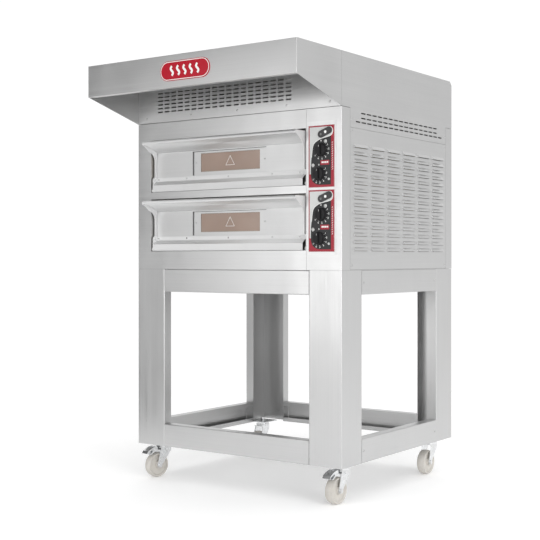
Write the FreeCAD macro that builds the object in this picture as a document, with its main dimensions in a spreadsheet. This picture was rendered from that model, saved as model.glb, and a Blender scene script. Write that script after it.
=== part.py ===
"""Twin-deck electric pizza oven with an extraction hood, on an open stand with casters.

Frame: millimetres, +Z up, +X to the right of somebody facing the oven, -Y towards them.
The origin is on the floor, under the middle of the whole machine.
"""
import FreeCAD, Part
import math
import os

import Sketcher
from FreeCAD import Placement, Rotation, Vector

# ---------------------------------------------------------------- driving dimensions
SIZES = {
    # whole machine
    "body_width": 980,
    "body_depth": 879,
    "sheet": 1.5,
    "stand_sheet": 2,
    "stand_bottom": 141,
    "stand_top": 854,
    "oven_top": 1446,
    "hood_top": 1645,
    # stand
    "leg_flange": 141,
    "leg_lip": 41,
    "rail_height": 90,
    "rail_flange": 40,
    "rail_lip": 18,
    # casters
    "wheel_radius": 50,
    "wheel_width": 32,
    "caster_trail": 35,
    "caster_inset_x": 57,
    "caster_inset_y": 90,
    "fork_gap": 38,
    "fork_plate": 3,
    "mount_plate": 4,
    "mount_plate_size": 96,
    # oven casing
    "front_post": 58,
    "rear_post": 55,
    "back_recess": 20,
    "side_panel_top": 1375,
    "louvre_length": 96,
    "louvre_pitch_y": 122.8,
    "louvre_pitch_z": 27,
    "louvre_stand_out": 8,
    # decks and doors
    "deck_pitch": 238.5,
    "lower_opening": 927,
    "opening_left": -420,
    "opening_width": 756,
    "opening_height": 210,
    "mouth_depth": 46,
    "door_width": 745,
    "door_gap": 5.5,
    "nose_reach": 62,
    "door_depth": 40,
    "hinge_back": 8,
    "hinge_rise": 8,
    "hinge_radius": 4,
    "window_width": 362,
    "window_height": 95,
    "glass_width": 290,
    "glass_height": 74,
    # baking chambers
    "chamber_width": 720,
    "chamber_depth": 700,
    "chamber_height": 175,
    "stone_thickness": 24,
    "element_radius": 4,
    # controls
    "control_left": 343,
    "control_width": 124,
    "control_bottom": 910,
    "control_height": 487,
    "overlay_width": 112,
    "overlay_height": 225,
    "overlay_thickness": 0.8,
    "knob_radius": 24.5,
    "knob_disc": 11,
    "knob_length": 18,
    # hood
    "hood_projection": 287,
    "fascia_height": 121,
    "grille_pitch_x": 34.9,
    "grille_pitch_z": 15,
    "collar_radius": 75,
    "collar_height": 40,
    "badge_width": 233,
    "badge_height": 72,
    "badge_thickness": 3,
}

doc = FreeCAD.newDocument("deck_oven")
sheet = doc.addObject("Spreadsheet::Sheet", "sizes")
for row, (alias, number) in enumerate(SIZES.items(), start=1):
    sheet.set(f"A{row}", alias)
    sheet.set(f"B{row}", str(number))
    sheet.setAlias(f"B{row}", alias)
doc.recompute()


class Size:
    """A length that carries its number and the spreadsheet expression it comes from."""

    def __init__(self, value, text):
        self.value = value
        self.text = text

    def __add__(self, other):
        other = size(other)
        return Size(self.value + other.value, f"({self.text} + {other.text})")

    def __sub__(self, other):
        other = size(other)
        return Size(self.value - other.value, f"({self.text} - {other.text})")

    def __mul__(self, factor):
        return Size(self.value * factor, f"({self.text} * {factor})")

    def __truediv__(self, factor):
        return Size(self.value / factor, f"({self.text} / {factor})")

    def __neg__(self):
        return Size(-self.value, f"(0 - {self.text})")

    def __radd__(self, other):
        return size(other) + self

    def __rsub__(self, other):
        return size(other) - self


def size(item):
    """Turn an alias of the sheet, or a plain number, into a Size."""
    if isinstance(item, Size):
        return item
    if isinstance(item, str):
        return Size(float(sheet.get(item)), f"sizes.{item}")
    return Size(float(item), f"({float(item):.6f})")


def bind(obj, prop, length):
    """Drive one property of an object from the sheet."""
    obj.setExpression(prop, size(length).text)


def place(obj, x=0, y=0, z=0):
    """Drive an object's position from the sheet."""
    for axis, length in zip("xyz", (x, y, z)):
        bind(obj, f"Placement.Base.{axis}", length)
    return obj


# ---------------------------------------------------------------- levels and planes
HALF = size("body_width") / 2
SHEET = size("sheet")
FRONT = (size("badge_thickness") + size("hood_projection") - "body_depth") / 2
REAR = FRONT + "body_depth"
HOOD_FRONT = FRONT - "hood_projection"
STAND_BOTTOM = size("stand_bottom")
STAND_TOP = size("stand_top")
OVEN_TOP = size("oven_top")
HOOD_TOP = size("hood_top")
DECKS = {"lower": size("lower_opening"), "upper": size("lower_opening") + "deck_pitch"}
DOOR_LEFT = size("opening_left") + "door_gap"
OPENING_RIGHT = size("opening_left") + "opening_width"
OPENING_MIDDLE = size("opening_left") + size("opening_width") / 2
HINGE_Y = FRONT + "hinge_back"
CORNERS = {
    "front_left": (-1, -1),
    "front_right": (1, -1),
    "rear_left": (-1, 1),
    "rear_right": (1, 1),
}
SIDES = {"left": -1, "right": 1}

finished = []


def finish(obj, label):
    """Name a finished sub-part and put it on the list of nodes to write."""
    obj.Label = label
    finished.append(obj)
    return obj


# ---------------------------------------------------------------- part primitives
def box(x, y, z, dx, dy, dz, name="block"):
    """A box from its lowest corner and its three edges."""
    obj = doc.addObject("Part::Box", name)
    for prop, length in zip(("Length", "Width", "Height"), (dx, dy, dz)):
        bind(obj, prop, length)
    return place(obj, x, y, z)


def box_between(x_range, y_range, z_range, name="block"):
    """A box from its limits along each axis."""
    spans = [size(high) - low for low, high in (x_range, y_range, z_range)]
    return box(x_range[0], y_range[0], z_range[0], *spans, name=name)


def rod(radius, length, x, y, z, axis="Z", name="rod"):
    """A cylinder that starts at a point and runs along one axis."""
    turns = {
        "X": Rotation(Vector(0, 1, 0), 90),
        "Y": Rotation(Vector(1, 0, 0), -90),
        "Z": Rotation(),
    }
    obj = doc.addObject("Part::Cylinder", name)
    bind(obj, "Radius", radius)
    bind(obj, "Height", length)
    obj.Placement = Placement(Vector(), turns[axis])
    return place(obj, x, y, z)


def cut(base, tools, name="cut"):
    """Take tools away from a base."""
    obj = doc.addObject("Part::Cut", name)
    obj.Base = base
    obj.Tool = tools[0] if len(tools) == 1 else fuse(tools)
    return obj


def fuse(pieces, name="fused"):
    """Join pieces that touch into one solid."""
    obj = doc.addObject("Part::MultiFuse", name)
    obj.Shapes = pieces
    return obj


def group(pieces, name="group"):
    """Keep separate solids together as one sub-part."""
    obj = doc.addObject("Part::Compound", name)
    obj.Links = pieces
    return obj


# ---------------------------------------------------------------- sketched features
# For each plane: its Role in a body, and whether its normal points along the world axis.
PLANES = {"XY": ("XY_Plane", 1), "XZ": ("XZ_Plane", -1), "YZ": ("YZ_Plane", 1)}


def new_body(name):
    return doc.addObject("PartDesign::Body", name)


def arc_between(start, end, radius, side):
    """An arc of a given radius that bulges to one side of its chord, counter-clockwise."""
    chord = end - start
    half = chord.Length / 2
    across = Vector(-chord.y, chord.x, 0).normalize() * side
    centre = (start + end) / 2 - across * math.sqrt(max(radius ** 2 - half ** 2, 0))
    first, last = (start, end) if side < 0 else (end, start)
    angles = [math.atan2(point.y - centre.y, point.x - centre.x) for point in (first, last)]
    if angles[1] < angles[0]:
        angles[1] += 2 * math.pi
    return Part.ArcOfCircle(Part.Circle(centre, Vector(0, 0, 1), radius), *angles)


def pin(sketch, index, point, x, y):
    """Hold one point of a sketch edge at a driven distance from the sketch's origin."""
    for kind, length in (("DistanceX", x), ("DistanceY", y)):
        length = size(length)
        number = sketch.addConstraint(Sketcher.Constraint(kind, -1, 1, index, point, length.value))
        sketch.setExpression(f"Constraints[{number}]", length.text)


def draw_outline(sketch, outline):
    """Draw a closed outline. A corner is (x, y), or (x, y, radius, side) to end an arc there."""
    corners = [Vector(size(c[0]).value, size(c[1]).value, 0) for c in outline]
    first = sketch.GeometryCount
    ends = []
    for i, corner in enumerate(outline):
        start = corners[i - 1]
        end = corners[i]
        if len(corner) == 2:
            sketch.addGeometry(Part.LineSegment(start, end), False)
            ends.append((1, 2))
            continue
        side = corner[3]
        sketch.addGeometry(arc_between(start, end, size(corner[2]).value, side), False)
        ends.append((1, 2) if side < 0 else (2, 1))
    for i, corner in enumerate(outline):
        following = (i + 1) % len(outline)
        sketch.addConstraint(
            Sketcher.Constraint("Coincident", first + i, ends[i][1], first + following, ends[following][0]))
        pin(sketch, first + i, ends[i][1], corner[0], corner[1])
    for i, corner in enumerate(outline):
        if len(corner) == 4:
            radius = size(corner[2])
            number = sketch.addConstraint(Sketcher.Constraint("Radius", first + i, radius.value))
            sketch.setExpression(f"Constraints[{number}]", radius.text)


def draw_circle(sketch, x, y, radius):
    """Draw a driven circle."""
    centre = Vector(size(x).value, size(y).value, 0)
    index = sketch.addGeometry(Part.Circle(centre, Vector(0, 0, 1), size(radius).value), False)
    pin(sketch, index, 3, x, y)
    number = sketch.addConstraint(Sketcher.Constraint("Radius", index, size(radius).value))
    sketch.setExpression(f"Constraints[{number}]", size(radius).text)


def new_sketch(body, plane, start, outlines=(), circles=()):
    """A sketch parallel to one of a body's origin planes, at a driven distance from it."""
    role, sign = PLANES[plane]
    sketch = body.newObject("Sketcher::SketchObject", f"{body.Name}_outline")
    support = next(f for f in body.Origin.OriginFeatures if f.Role == role)
    sketch.AttachmentSupport = (support, [""])
    sketch.MapMode = "FlatFace"
    sketch.setExpression("AttachmentOffset.Base.z", (size(start) * sign).text)
    for outline in outlines:
        draw_outline(sketch, outline)
    for circle in circles:
        draw_circle(sketch, *circle)
    return sketch


def pad(body, plane, start, length, outlines=(), circles=()):
    """Add a prism that grows from start along the plane's world axis."""
    sketch = new_sketch(body, plane, start, outlines, circles)
    feature = body.newObject("PartDesign::Pad", f"{body.Name}_pad")
    feature.Profile = sketch
    bind(feature, "Length", length)
    feature.Reversed = PLANES[plane][1] < 0
    return feature


def pocket(body, plane, start, length, outlines=(), circles=()):
    """Cut a prism that runs from start along the plane's world axis."""
    sketch = new_sketch(body, plane, start, outlines, circles)
    feature = body.newObject("PartDesign::Pocket", f"{body.Name}_pocket")
    feature.Profile = sketch
    bind(feature, "Length", length)
    feature.Reversed = PLANES[plane][1] > 0
    return feature


def rectangle(x, y, width, height):
    """A rectangular outline from its lowest corner."""
    right = size(x) + width
    top = size(y) + height
    return [(x, y), (right, y), (right, top), (x, top)]


def slot(x, y, width, height):
    """A slot with rounded ends, from its lowest corner."""
    radius = size(height) * 0.56
    inset = size(height) * 0.42
    left = size(x) + inset
    right = size(x) + width - inset
    top = size(y) + height
    return [(right, y), (right, top, radius, -1), (left, top), (left, y, radius, -1)]


def round_edges(body, feature, radius, wanted):
    """Round the edges of a feature for which wanted(edge) is true."""
    doc.recompute()
    names = [f"Edge{i}" for i, edge in enumerate(feature.Shape.Edges, start=1) if wanted(edge)]
    fillet = body.newObject("PartDesign::Fillet", f"{body.Name}_bends")
    fillet.Base = (feature, names)
    bind(fillet, "Radius", radius)
    body.Tip = fillet
    return fillet


def runs_along(edge, axis):
    """True for a straight edge parallel to a world axis."""
    ends = [v.Point for v in edge.Vertexes]
    if len(ends) != 2 or edge.Curve.TypeId != "Part::GeomLine":
        return False
    return abs((ends[1] - ends[0]).normalize().dot(axis)) > 0.9999


def at_point(edge, x=None, y=None, z=None):
    """True when the middle of an edge has the given coordinates."""
    middle = edge.CenterOfMass
    pairs = ((middle.x, x), (middle.y, y), (middle.z, z))
    return all(target is None or abs(found - size(target).value) < 0.01 for found, target in pairs)


# ---------------------------------------------------------------- stand
def stand_leg(corner):
    """An open corner post: two outer faces, each with a lip turned inwards."""
    side, end = CORNERS[corner]
    corner_x = HALF * side
    corner_y = FRONT if end < 0 else REAR
    t = size("stand_sheet")
    flange = size("leg_flange")
    lip = size("leg_lip")
    path = [(0, 0), (flange, 0), (flange, lip), (flange - t, lip), (flange - t, t), (t, t),
            (t, flange - t), (lip, flange - t), (lip, flange), (0, flange)]
    outline = [(corner_x - size(a) * side, corner_y - size(b) * end) for a, b in path]
    body = new_body("leg")
    post = pad(body, "XY", STAND_BOTTOM, STAND_TOP - STAND_BOTTOM, [outline])
    bends = [outline[i] for i in (0, 1, 9)]
    up = Vector(0, 0, 1)
    round_edges(body, post, t * 1.4,
                lambda edge: runs_along(edge, up) and any(at_point(edge, x, y) for x, y in bends))
    finish(body, f"stand_leg_{corner}")


def channel_path():
    """The section of a rail: a web, two flanges and two lips, open towards the inside."""
    t = size("stand_sheet")
    flange = size("rail_flange")
    tall = size("rail_height")
    lip = size("rail_lip")
    return [(0, 0), (flange, 0), (flange, lip), (flange - t, lip), (flange - t, t), (t, t),
            (t, tall - t), (flange - t, tall - t), (flange - t, tall - lip), (flange, tall - lip),
            (flange, tall), (0, tall)]


def stand_channel(name, place_name, base):
    """One rail between two legs, with its web flush with the legs' faces."""
    seam = 0.4
    path = channel_path()
    body = new_body("channel")
    if place_name in SIDES:
        side = SIDES[place_name]
        outline = [(HALF * side - size(a) * side, base + b) for a, b in path]
        start = FRONT + "leg_flange" + seam
        length = size("body_depth") - size("leg_flange") * 2 - 2 * seam
        rail = pad(body, "XZ", start, length, [outline])
        along = Vector(0, 1, 0)
        bends = [(HALF * side, None, base), (HALF * side, None, base + "rail_height")]
    else:
        end = -1 if place_name == "front" else 1
        face = FRONT if end < 0 else REAR
        outline = [(face - size(a) * end, base + b) for a, b in path]
        start = -HALF + "leg_flange" + seam
        length = size("body_width") - size("leg_flange") * 2 - 2 * seam
        rail = pad(body, "YZ", start, length, [outline])
        along = Vector(1, 0, 0)
        bends = [(None, face, base), (None, face, base + "rail_height")]
    round_edges(body, rail, size("stand_sheet") * 1.4,
                lambda edge: runs_along(edge, along) and any(at_point(edge, *b) for b in bends))
    finish(body, f"{name}_{place_name}")


def caster_pivot(corner):
    """Where a caster swivels, in plan."""
    side, end = CORNERS[corner]
    x = HALF * side - size("caster_inset_x") * side
    face = FRONT if end < 0 else REAR
    return x, face - size("caster_inset_y") * end


def caster_mounts():
    """Four plates inside the feet of the legs, bored for the casters' kingpins."""
    plates = []
    wide = size("mount_plate_size")
    for corner in CORNERS:
        x, y = caster_pivot(corner)
        plate = box(x - wide / 2, y - wide / 2, STAND_BOTTOM, wide, wide, "mount_plate")
        bore = rod(6.05, 10, x, y, STAND_BOTTOM - 3)
        plates.append(cut(plate, [bore]))
    finish(group(plates), "caster_mount_plates")


# ---------------------------------------------------------------- casters
PEDAL_Y = -6
PEDAL_Z = 112
# How far each caster stands turned from pointing straight ahead, in degrees.
CASTER_TURNS = {"front_left": -11, "front_right": -3, "rear_left": 0, "rear_right": 0}


def place_on_pivot(obj, corner, ahead=0, height=0):
    """Put a caster's piece at its pivot, or ahead of it, turned as that caster stands."""
    x, y = caster_pivot(corner)
    turn = CASTER_TURNS[corner]
    obj.Placement = Placement(Vector(), Rotation(Vector(0, 0, 1), turn))
    ahead = size(ahead)
    angle = math.radians(turn)
    place(obj, x + ahead * math.sin(angle), y - ahead * math.cos(angle), height)


def caster_fork(corner):
    """Head, kingpin, two cheeks and the axle bolt, turning about the kingpin."""
    trail = size("caster_trail")
    gap = size("fork_gap") / 2
    plate = size("fork_plate")
    crown_top = 124
    crown_front = -38
    cheek_front = -27
    back_edge = 24
    boss = 12
    cheek = [(back_edge, crown_top), (cheek_front, crown_top), (-trail - boss, "wheel_radius"),
             (-trail + boss, "wheel_radius", 12.3, -1), (back_edge, 106)]
    body = new_body("fork")
    for start in (-gap - plate, gap):
        pad(body, "YZ", start, plate, [cheek])
    pad(body, "XY", crown_top - plate, plate,
        [rectangle(-gap - plate, crown_front, (gap + plate) * 2, back_edge - crown_front)])
    pad(body, "XY", crown_top, 7, circles=[(0, 0, 30)])
    pad(body, "XY", crown_top + 7, 6, circles=[(0, 0, 26)])
    pad(body, "XY", crown_top + 13, STAND_BOTTOM - crown_top - 13.3, circles=[(0, 0, 20)])
    pad(body, "XY", crown_top + 13, 22, circles=[(0, 0, 6)])
    nut_corner = [(9.5 * math.cos(math.radians(60 * i)), 9.5 * math.sin(math.radians(60 * i)))
                  for i in range(6)]
    pad(body, "XY", STAND_BOTTOM + "mount_plate" + 0.3, 7, [nut_corner])
    pad(body, "YZ", -gap - plate - 5, (gap + plate + 5) * 2, circles=[(-trail, "wheel_radius", 5)])
    for start in (-gap - plate - 5, gap + plate):
        pad(body, "YZ", start, 5, circles=[(-trail, "wheel_radius", 8.5)])
    if corner.startswith("front"):
        pocket(body, "YZ", -gap - plate - 1, (gap + plate + 1) * 2, circles=[(PEDAL_Y, PEDAL_Z, 3.06)])
    place_on_pivot(body, corner)
    finish(body, f"caster_fork_{corner}")


def caster_wheel(corner):
    """A nylon wheel: crowned tread, thin web and a wide hub."""
    rim = size("wheel_width") / 2
    outer = size("wheel_radius")
    web = 10
    hub = size("fork_gap") / 2 - 1
    section = [(-hub, 5.1), (hub, 5.1), (hub, 13), (web, 15), (web, outer - 11), (rim - 1, outer - 8),
               (rim, outer - 3), (-rim, outer - 3, 44.2, -1), (-rim + 1, outer - 8), (-web, outer - 11),
               (-web, 15), (-hub, 13)]
    body = new_body("wheel")
    sketch = new_sketch(body, "XZ", 0, [section])
    turned = body.newObject("PartDesign::Revolution", "wheel_turned")
    turned.Profile = sketch
    turned.ReferenceAxis = (sketch, ["H_Axis"])
    turned.Angle = 360
    place_on_pivot(body, corner, "caster_trail", "wheel_radius")
    finish(body, f"caster_wheel_{corner}")


def brake_pedal(corner):
    """A pressed pedal over the wheel: a press plate that droops to its tip, and a release lip below it."""
    wide = 34
    body = new_body("pedal")
    pad(body, "YZ", -18.5, 37, circles=[(PEDAL_Y, PEDAL_Z, 6)])
    pad(body, "YZ", -24, 48, circles=[(PEDAL_Y, PEDAL_Z, 3)])
    arm = [(PEDAL_Y, 109.5), (-42, 109.5), (-60, 105.5), (-78, 95), (-81, 98), (-64, 110.5), (-67, 116),
           (-76, 114.5), (-88, 107.5), (-94, 99.5), (-97, 102), (-91, 112), (-77, 119.5), (-60, 126.5),
           (-48, 128), (-43, 124), (-43, 113), (PEDAL_Y, 113)]
    pad(body, "YZ", -wide / 2, wide, [arm])
    place_on_pivot(body, corner)
    finish(body, f"brake_pedal_{corner}")


# ---------------------------------------------------------------- oven casing
CASING_GAP = 1.2
GLAND_X = -330
GLAND_Z = 930


def floor_pan():
    """The tray under the decks, with its edges folded up inside the casing."""
    t = SHEET
    fold = 40
    inner = 2
    outer = box_between((-HALF + inner, HALF - inner), (FRONT + inner, REAR - size("back_recess") - 2),
                        (STAND_TOP, STAND_TOP + fold))
    hollow = box_between((-HALF + inner + t, HALF - inner - t),
                         (FRONT + inner + t, REAR - size("back_recess") - 2 - t),
                         (STAND_TOP + t, STAND_TOP + fold + 1))
    finish(cut(outer, [hollow]), "floor_pan")


def front_panel():
    """The face of the oven: two door openings, the control opening and a return down each side."""
    t = SHEET
    post = size("front_post")
    outline = [(-HALF, FRONT), (HALF, FRONT), (HALF, FRONT + post), (HALF - t, FRONT + post),
               (HALF - t, FRONT + t), (-HALF + t, FRONT + t), (-HALF + t, FRONT + post),
               (-HALF, FRONT + post)]
    body = new_body("front_panel")
    base = STAND_TOP + CASING_GAP
    face = pad(body, "XY", base, OVEN_TOP - base - 1.5, [outline])
    up = Vector(0, 0, 1)
    corners = [(-HALF, FRONT), (HALF, FRONT)]
    round_edges(body, face, 2.5,
                lambda edge: runs_along(edge, up) and any(at_point(edge, x, y) for x, y in corners))
    openings = [rectangle("opening_left", z, "opening_width", "opening_height") for z in DECKS.values()]
    margin = 8
    openings.append(rectangle(size("control_left") + margin, size("control_bottom") + margin,
                              size("control_width") - 2 * margin, size("control_height") - 2 * margin))
    pocket(body, "XZ", FRONT - 1, 4, openings)
    seam = 1.2
    seam_depth = 0.9
    seam_x = OPENING_RIGHT + 2
    pocket(body, "XZ", FRONT - 1, 1 + seam_depth, [rectangle(seam_x, base - 1, seam, OVEN_TOP - base + 2)])
    finish(body, "front_panel")


def louvres(body, side):
    """Press rows of louvres out of a side panel, open at the bottom."""
    columns, rows = 6, 15
    reach = size("louvre_stand_out")
    length = size("louvre_length")
    face = HALF * side
    first_y = FRONT + 86
    first_z = 926
    rise = 13
    wall = 1.2

    def section(points):
        return [(face + size(a) * side, size(first_z) + b) for a, b in points]

    hood = pad(body, "XZ", first_y, length, [section([(0, 0), (reach, 0), (reach, 1.5), (0, rise)])])
    repeat_along(body, hood, "Y", (columns, "louvre_pitch_y"), (rows, "louvre_pitch_z"))
    hollow = [(-3, -1), (reach - wall, -1), (reach - wall, 0.8), (0, rise - 2.5), (-3, rise - 2.5)]
    mouth = pocket(body, "XZ", first_y + wall, length - 2 * wall, [section(hollow)])
    repeat_along(body, mouth, "Y", (columns, "louvre_pitch_y"), (rows, "louvre_pitch_z"))


def repeat_along(body, feature, axis, columns, rows):
    """Repeat a feature in a grid of columns along a world axis and rows up the height."""
    roles = {"X": "X_Axis", "Y": "Y_Axis", "Z": "Z_Axis"}
    patterns = []
    for role, (count, pitch) in ((roles[axis], columns), (roles["Z"], rows)):
        if count < 2:
            continue
        direction = next(f for f in body.Origin.OriginFeatures if f.Role == role)
        pattern = body.newObject("PartDesign::LinearPattern", f"{body.Name}_pattern")
        pattern.Direction = (direction, [""])
        bind(pattern, "Length", size(pitch) * (count - 1))
        pattern.Occurrences = count
        patterns.append(pattern)
    grid = body.newObject("PartDesign::MultiTransform", f"{body.Name}_grid")
    grid.Originals = [feature]
    grid.Transformations = patterns
    body.Tip = grid
    return grid


def side_panel(name):
    """The removable side panel between the posts."""
    side = SIDES[name]
    t = SHEET
    seam = 0.8
    body = new_body("side_panel")
    inner = HALF * side if side < 0 else HALF - t
    base = STAND_TOP + 4
    y0 = FRONT + "front_post" + seam
    y1 = REAR - "rear_post" - seam
    pad(body, "YZ", inner, t, [rectangle(y0, base, y1 - y0, size("side_panel_top") - base - seam)])
    louvres(body, side)
    finish(body, f"side_panel_{name}")


def back_panel():
    """The rear of the oven: a post down each side and a slotted panel set in between them."""
    t = SHEET
    post = size("rear_post")
    deep = size("back_recess")
    inner = HALF - 45
    base = STAND_TOP + CASING_GAP
    tall = OVEN_TOP - base - 1.5
    pieces = []
    for side in SIDES.values():
        section = [(HALF, REAR - post), (HALF, REAR), (inner, REAR), (inner, REAR - deep),
                   (inner + t, REAR - deep), (inner + t, REAR - t), (HALF - t, REAR - t),
                   (HALF - t, REAR - post)]
        body = new_body("rear_post")
        pad(body, "XY", base, tall, [[(x * side, y) for x, y in section]])
        pieces.append(body)
    seam = 0.3
    body = new_body("back_sheet")
    pad(body, "XZ", REAR - deep, t, [rectangle(-inner + seam, base, (inner - seam) * 2, tall)])
    pocket(body, "XZ", REAR - deep - 1, 4, circles=[(GLAND_X, GLAND_Z, 10.2)])
    vents = pocket(body, "XZ", REAR - deep - 1, 4, [slot(-300, 1180, 60, 6)])
    repeat_along(body, vents, "X", (7, 90), (8, 20))
    pieces.append(body)
    finish(group(pieces), "back_panel")


def cable_gland():
    """The strain relief nut where the supply cable is wired in at the back."""
    y = REAR - "back_recess"
    hexagon = [math.radians(60 * i) for i in range(6)]
    flats = [(GLAND_X + 14 * math.cos(angle), GLAND_Z + 14 * math.sin(angle)) for angle in hexagon]
    body = new_body("gland")
    pad(body, "XZ", y + SHEET, 7, [flats])
    pad(body, "XZ", y + SHEET + 7, 8, circles=[(GLAND_X, GLAND_Z, 11)])
    pad(body, "XZ", y - 8, 20, circles=[(GLAND_X, GLAND_Z, 10)])
    pad(body, "XZ", y - 5, 5, [flats])
    pocket(body, "XZ", y - 10, 30, circles=[(GLAND_X, GLAND_Z, 6.5)])
    finish(body, "cable_gland")


# ---------------------------------------------------------------- baking chambers
def chamber(deck):
    """A folded liner with a wider mouth in front, which carries the door's hinge studs."""
    t = SHEET
    z = DECKS[deck]
    left = size("opening_left")
    right = OPENING_RIGHT
    sill = 8
    mouth_back = FRONT + "mouth_depth"
    half_inner = size("chamber_width") / 2
    inner_left = OPENING_MIDDLE - half_inner
    inner_right = OPENING_MIDDLE + half_inner
    floor = z + 10
    ceiling = floor + "chamber_height"
    rear = mouth_back + "chamber_depth"
    mouth = box_between((left - t, right + t), (FRONT + t, mouth_back + t),
                        (z - sill - t, z + "opening_height" + t))
    tunnel = box_between((inner_left - t, inner_right + t), (mouth_back, rear + t), (floor - t, ceiling + t))
    mouth_space = box_between((left, right), (FRONT + t - 1, mouth_back), (z - sill, z + "opening_height"))
    tunnel_space = box_between((inner_left, inner_right), (mouth_back - 1, rear), (floor, ceiling))
    stud_hole = rod(size("hinge_radius") + 0.05, size("opening_width") + 20, left - 10, HINGE_Y,
                    z + "hinge_rise", axis="X")
    liner = cut(fuse([mouth, tunnel]), [mouth_space, tunnel_space, stud_hole])
    finish(liner, f"chamber_{deck}")


def element_centres(count, spread):
    """Even spacing of heating rods across a chamber."""
    return [OPENING_MIDDLE + (i - (count - 1) / 2) * (spread / (count - 1)) for i in range(count)]


ROD_COUNT = 6
ROD_SPREAD = 600


def stone_floors():
    """A refractory slab in each chamber, grooved underneath for the heating rods."""
    slabs = []
    wide = size("chamber_width") - 4
    y0 = FRONT + "mouth_depth" + 2
    deep = size("chamber_depth") - 4
    for z in DECKS.values():
        floor = z + 10
        slab = box(OPENING_MIDDLE - wide / 2, y0, floor, wide, deep, "stone_thickness")
        grooves = []
        for x in element_centres(ROD_COUNT, ROD_SPREAD):
            grooves.append(box(x - 7, y0 + 20, floor - 1, 14, deep, 15))
        slabs.append(cut(slab, grooves))
    finish(group(slabs), "stone_floors")


def heating_elements():
    """Sheathed rods under each stone and hairpins below each ceiling, fixed in the rear wall."""
    rods = []
    rear = FRONT + "mouth_depth" + "chamber_depth"
    radius = size("element_radius")
    length = size("chamber_depth") - 60
    for z in DECKS.values():
        low = z + 10 + 7
        high = z + 10 + "chamber_height" - 14
        for x in element_centres(ROD_COUNT, ROD_SPREAD):
            rods.append(rod(radius, length, x, rear - length, low, axis="Y"))
        centres = element_centres(ROD_COUNT, ROD_SPREAD)
        for start, end in zip(centres[::2], centres[1::2]):
            bend = doc.addObject("Part::Torus", "hairpin_bend")
            bind(bend, "Radius1", (end - start) / 2)
            bind(bend, "Radius2", radius)
            bend.Placement = Placement(Vector(), Rotation(Vector(0, 0, 1), 180))
            bend.Angle3 = 180
            place(bend, (start + end) / 2, rear - length, high)
            legs = [rod(radius, length, x, rear - length, high, axis="Y") for x in (start, end)]
            rods.append(fuse([bend] + legs))
    finish(group(rods), "heating_elements")


def insulation():
    """A blanket of mineral wool around each chamber."""
    blankets = []
    t = SHEET
    gap = 1
    half_inner = size("chamber_width") / 2
    y0 = FRONT + "mouth_depth" + t + gap
    rear = FRONT + "mouth_depth" + "chamber_depth"
    for z in DECKS.values():
        floor = z + 10
        ceiling = floor + "chamber_height"
        wool = box_between((OPENING_MIDDLE - half_inner - 45, OPENING_MIDDLE + half_inner + 45),
                           (y0, rear + 50), (floor - 15, ceiling + 20))
        space = box_between((OPENING_MIDDLE - half_inner - t - gap, OPENING_MIDDLE + half_inner + t + gap),
                            (y0 - 1, rear + t + gap), (floor - t - gap, ceiling + t + gap))
        blankets.append(cut(wool, [space]))
    finish(group(blankets), "insulation")


# ---------------------------------------------------------------- doors
def door_profile(z):
    """The side view of a door: (distance behind the front plane, height), nose at the top."""
    nose = -size("nose_reach")
    back = size("door_depth")
    top = z + 201
    return [
        (FRONT + back, z), (FRONT + back, top), (FRONT + nose + 6, top),
        (FRONT + nose, top - 6, 8, -1), (FRONT + nose, top - 12), (FRONT + 26, z + 160, 180, 1),
        (FRONT + 26, z + 59), (FRONT + 24, z + 59), (FRONT + 24, z + 44), (FRONT + 3, z + 28),
        (FRONT + 3, z + 1.5),
    ]


def door_skin(deck):
    """The pressed outer shell of a door, with the full-width handle and the window well."""
    z = DECKS[deck]
    t = size(2)
    end_plate = 3
    left = DOOR_LEFT + end_plate
    wide = size("door_width") - 2 * end_plate
    body = new_body("door_skin")
    pad(body, "YZ", left, wide, [door_profile(z)])
    back = FRONT + "door_depth"
    core = [
        (back + 1, z + t), (back + 1, z + 201 - t), (FRONT - 42, z + 201 - t), (FRONT - 42, z + 189.5),
        (FRONT - 18, z + 183.5), (FRONT + 10, z + 171.5), (FRONT + 28, z + 163), (FRONT + 28, z + 45.5),
        (FRONT + 5, z + 29.5), (FRONT + 5, z + t),
    ]
    pocket(body, "YZ", left - 1, wide + 2, [core])
    wall = 2
    window_x = OPENING_MIDDLE - size("window_width") / 2
    window_z = z + 62
    window = rectangle(window_x, window_z, "window_width", "window_height")
    rim = rectangle(window_x - wall, window_z - wall, size("window_width") + 2 * wall,
                    size("window_height") + 2 * wall)
    pad(body, "XZ", FRONT + 26, 9.5, [rim])
    pocket(body, "XZ", FRONT + 20, 13.5, [window])
    glass_x = OPENING_MIDDLE - size("glass_width") / 2
    glass_z = z + 75
    pocket(body, "XZ", FRONT + 20, 20, [rectangle(glass_x, glass_z, "glass_width", "glass_height")])
    notch = 9
    pocket(body, "XZ", FRONT - 1, 23, [rectangle(left + wide - notch, z - 1, notch + 1, 60)])
    finish(body, f"door_{deck}_skin")


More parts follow.
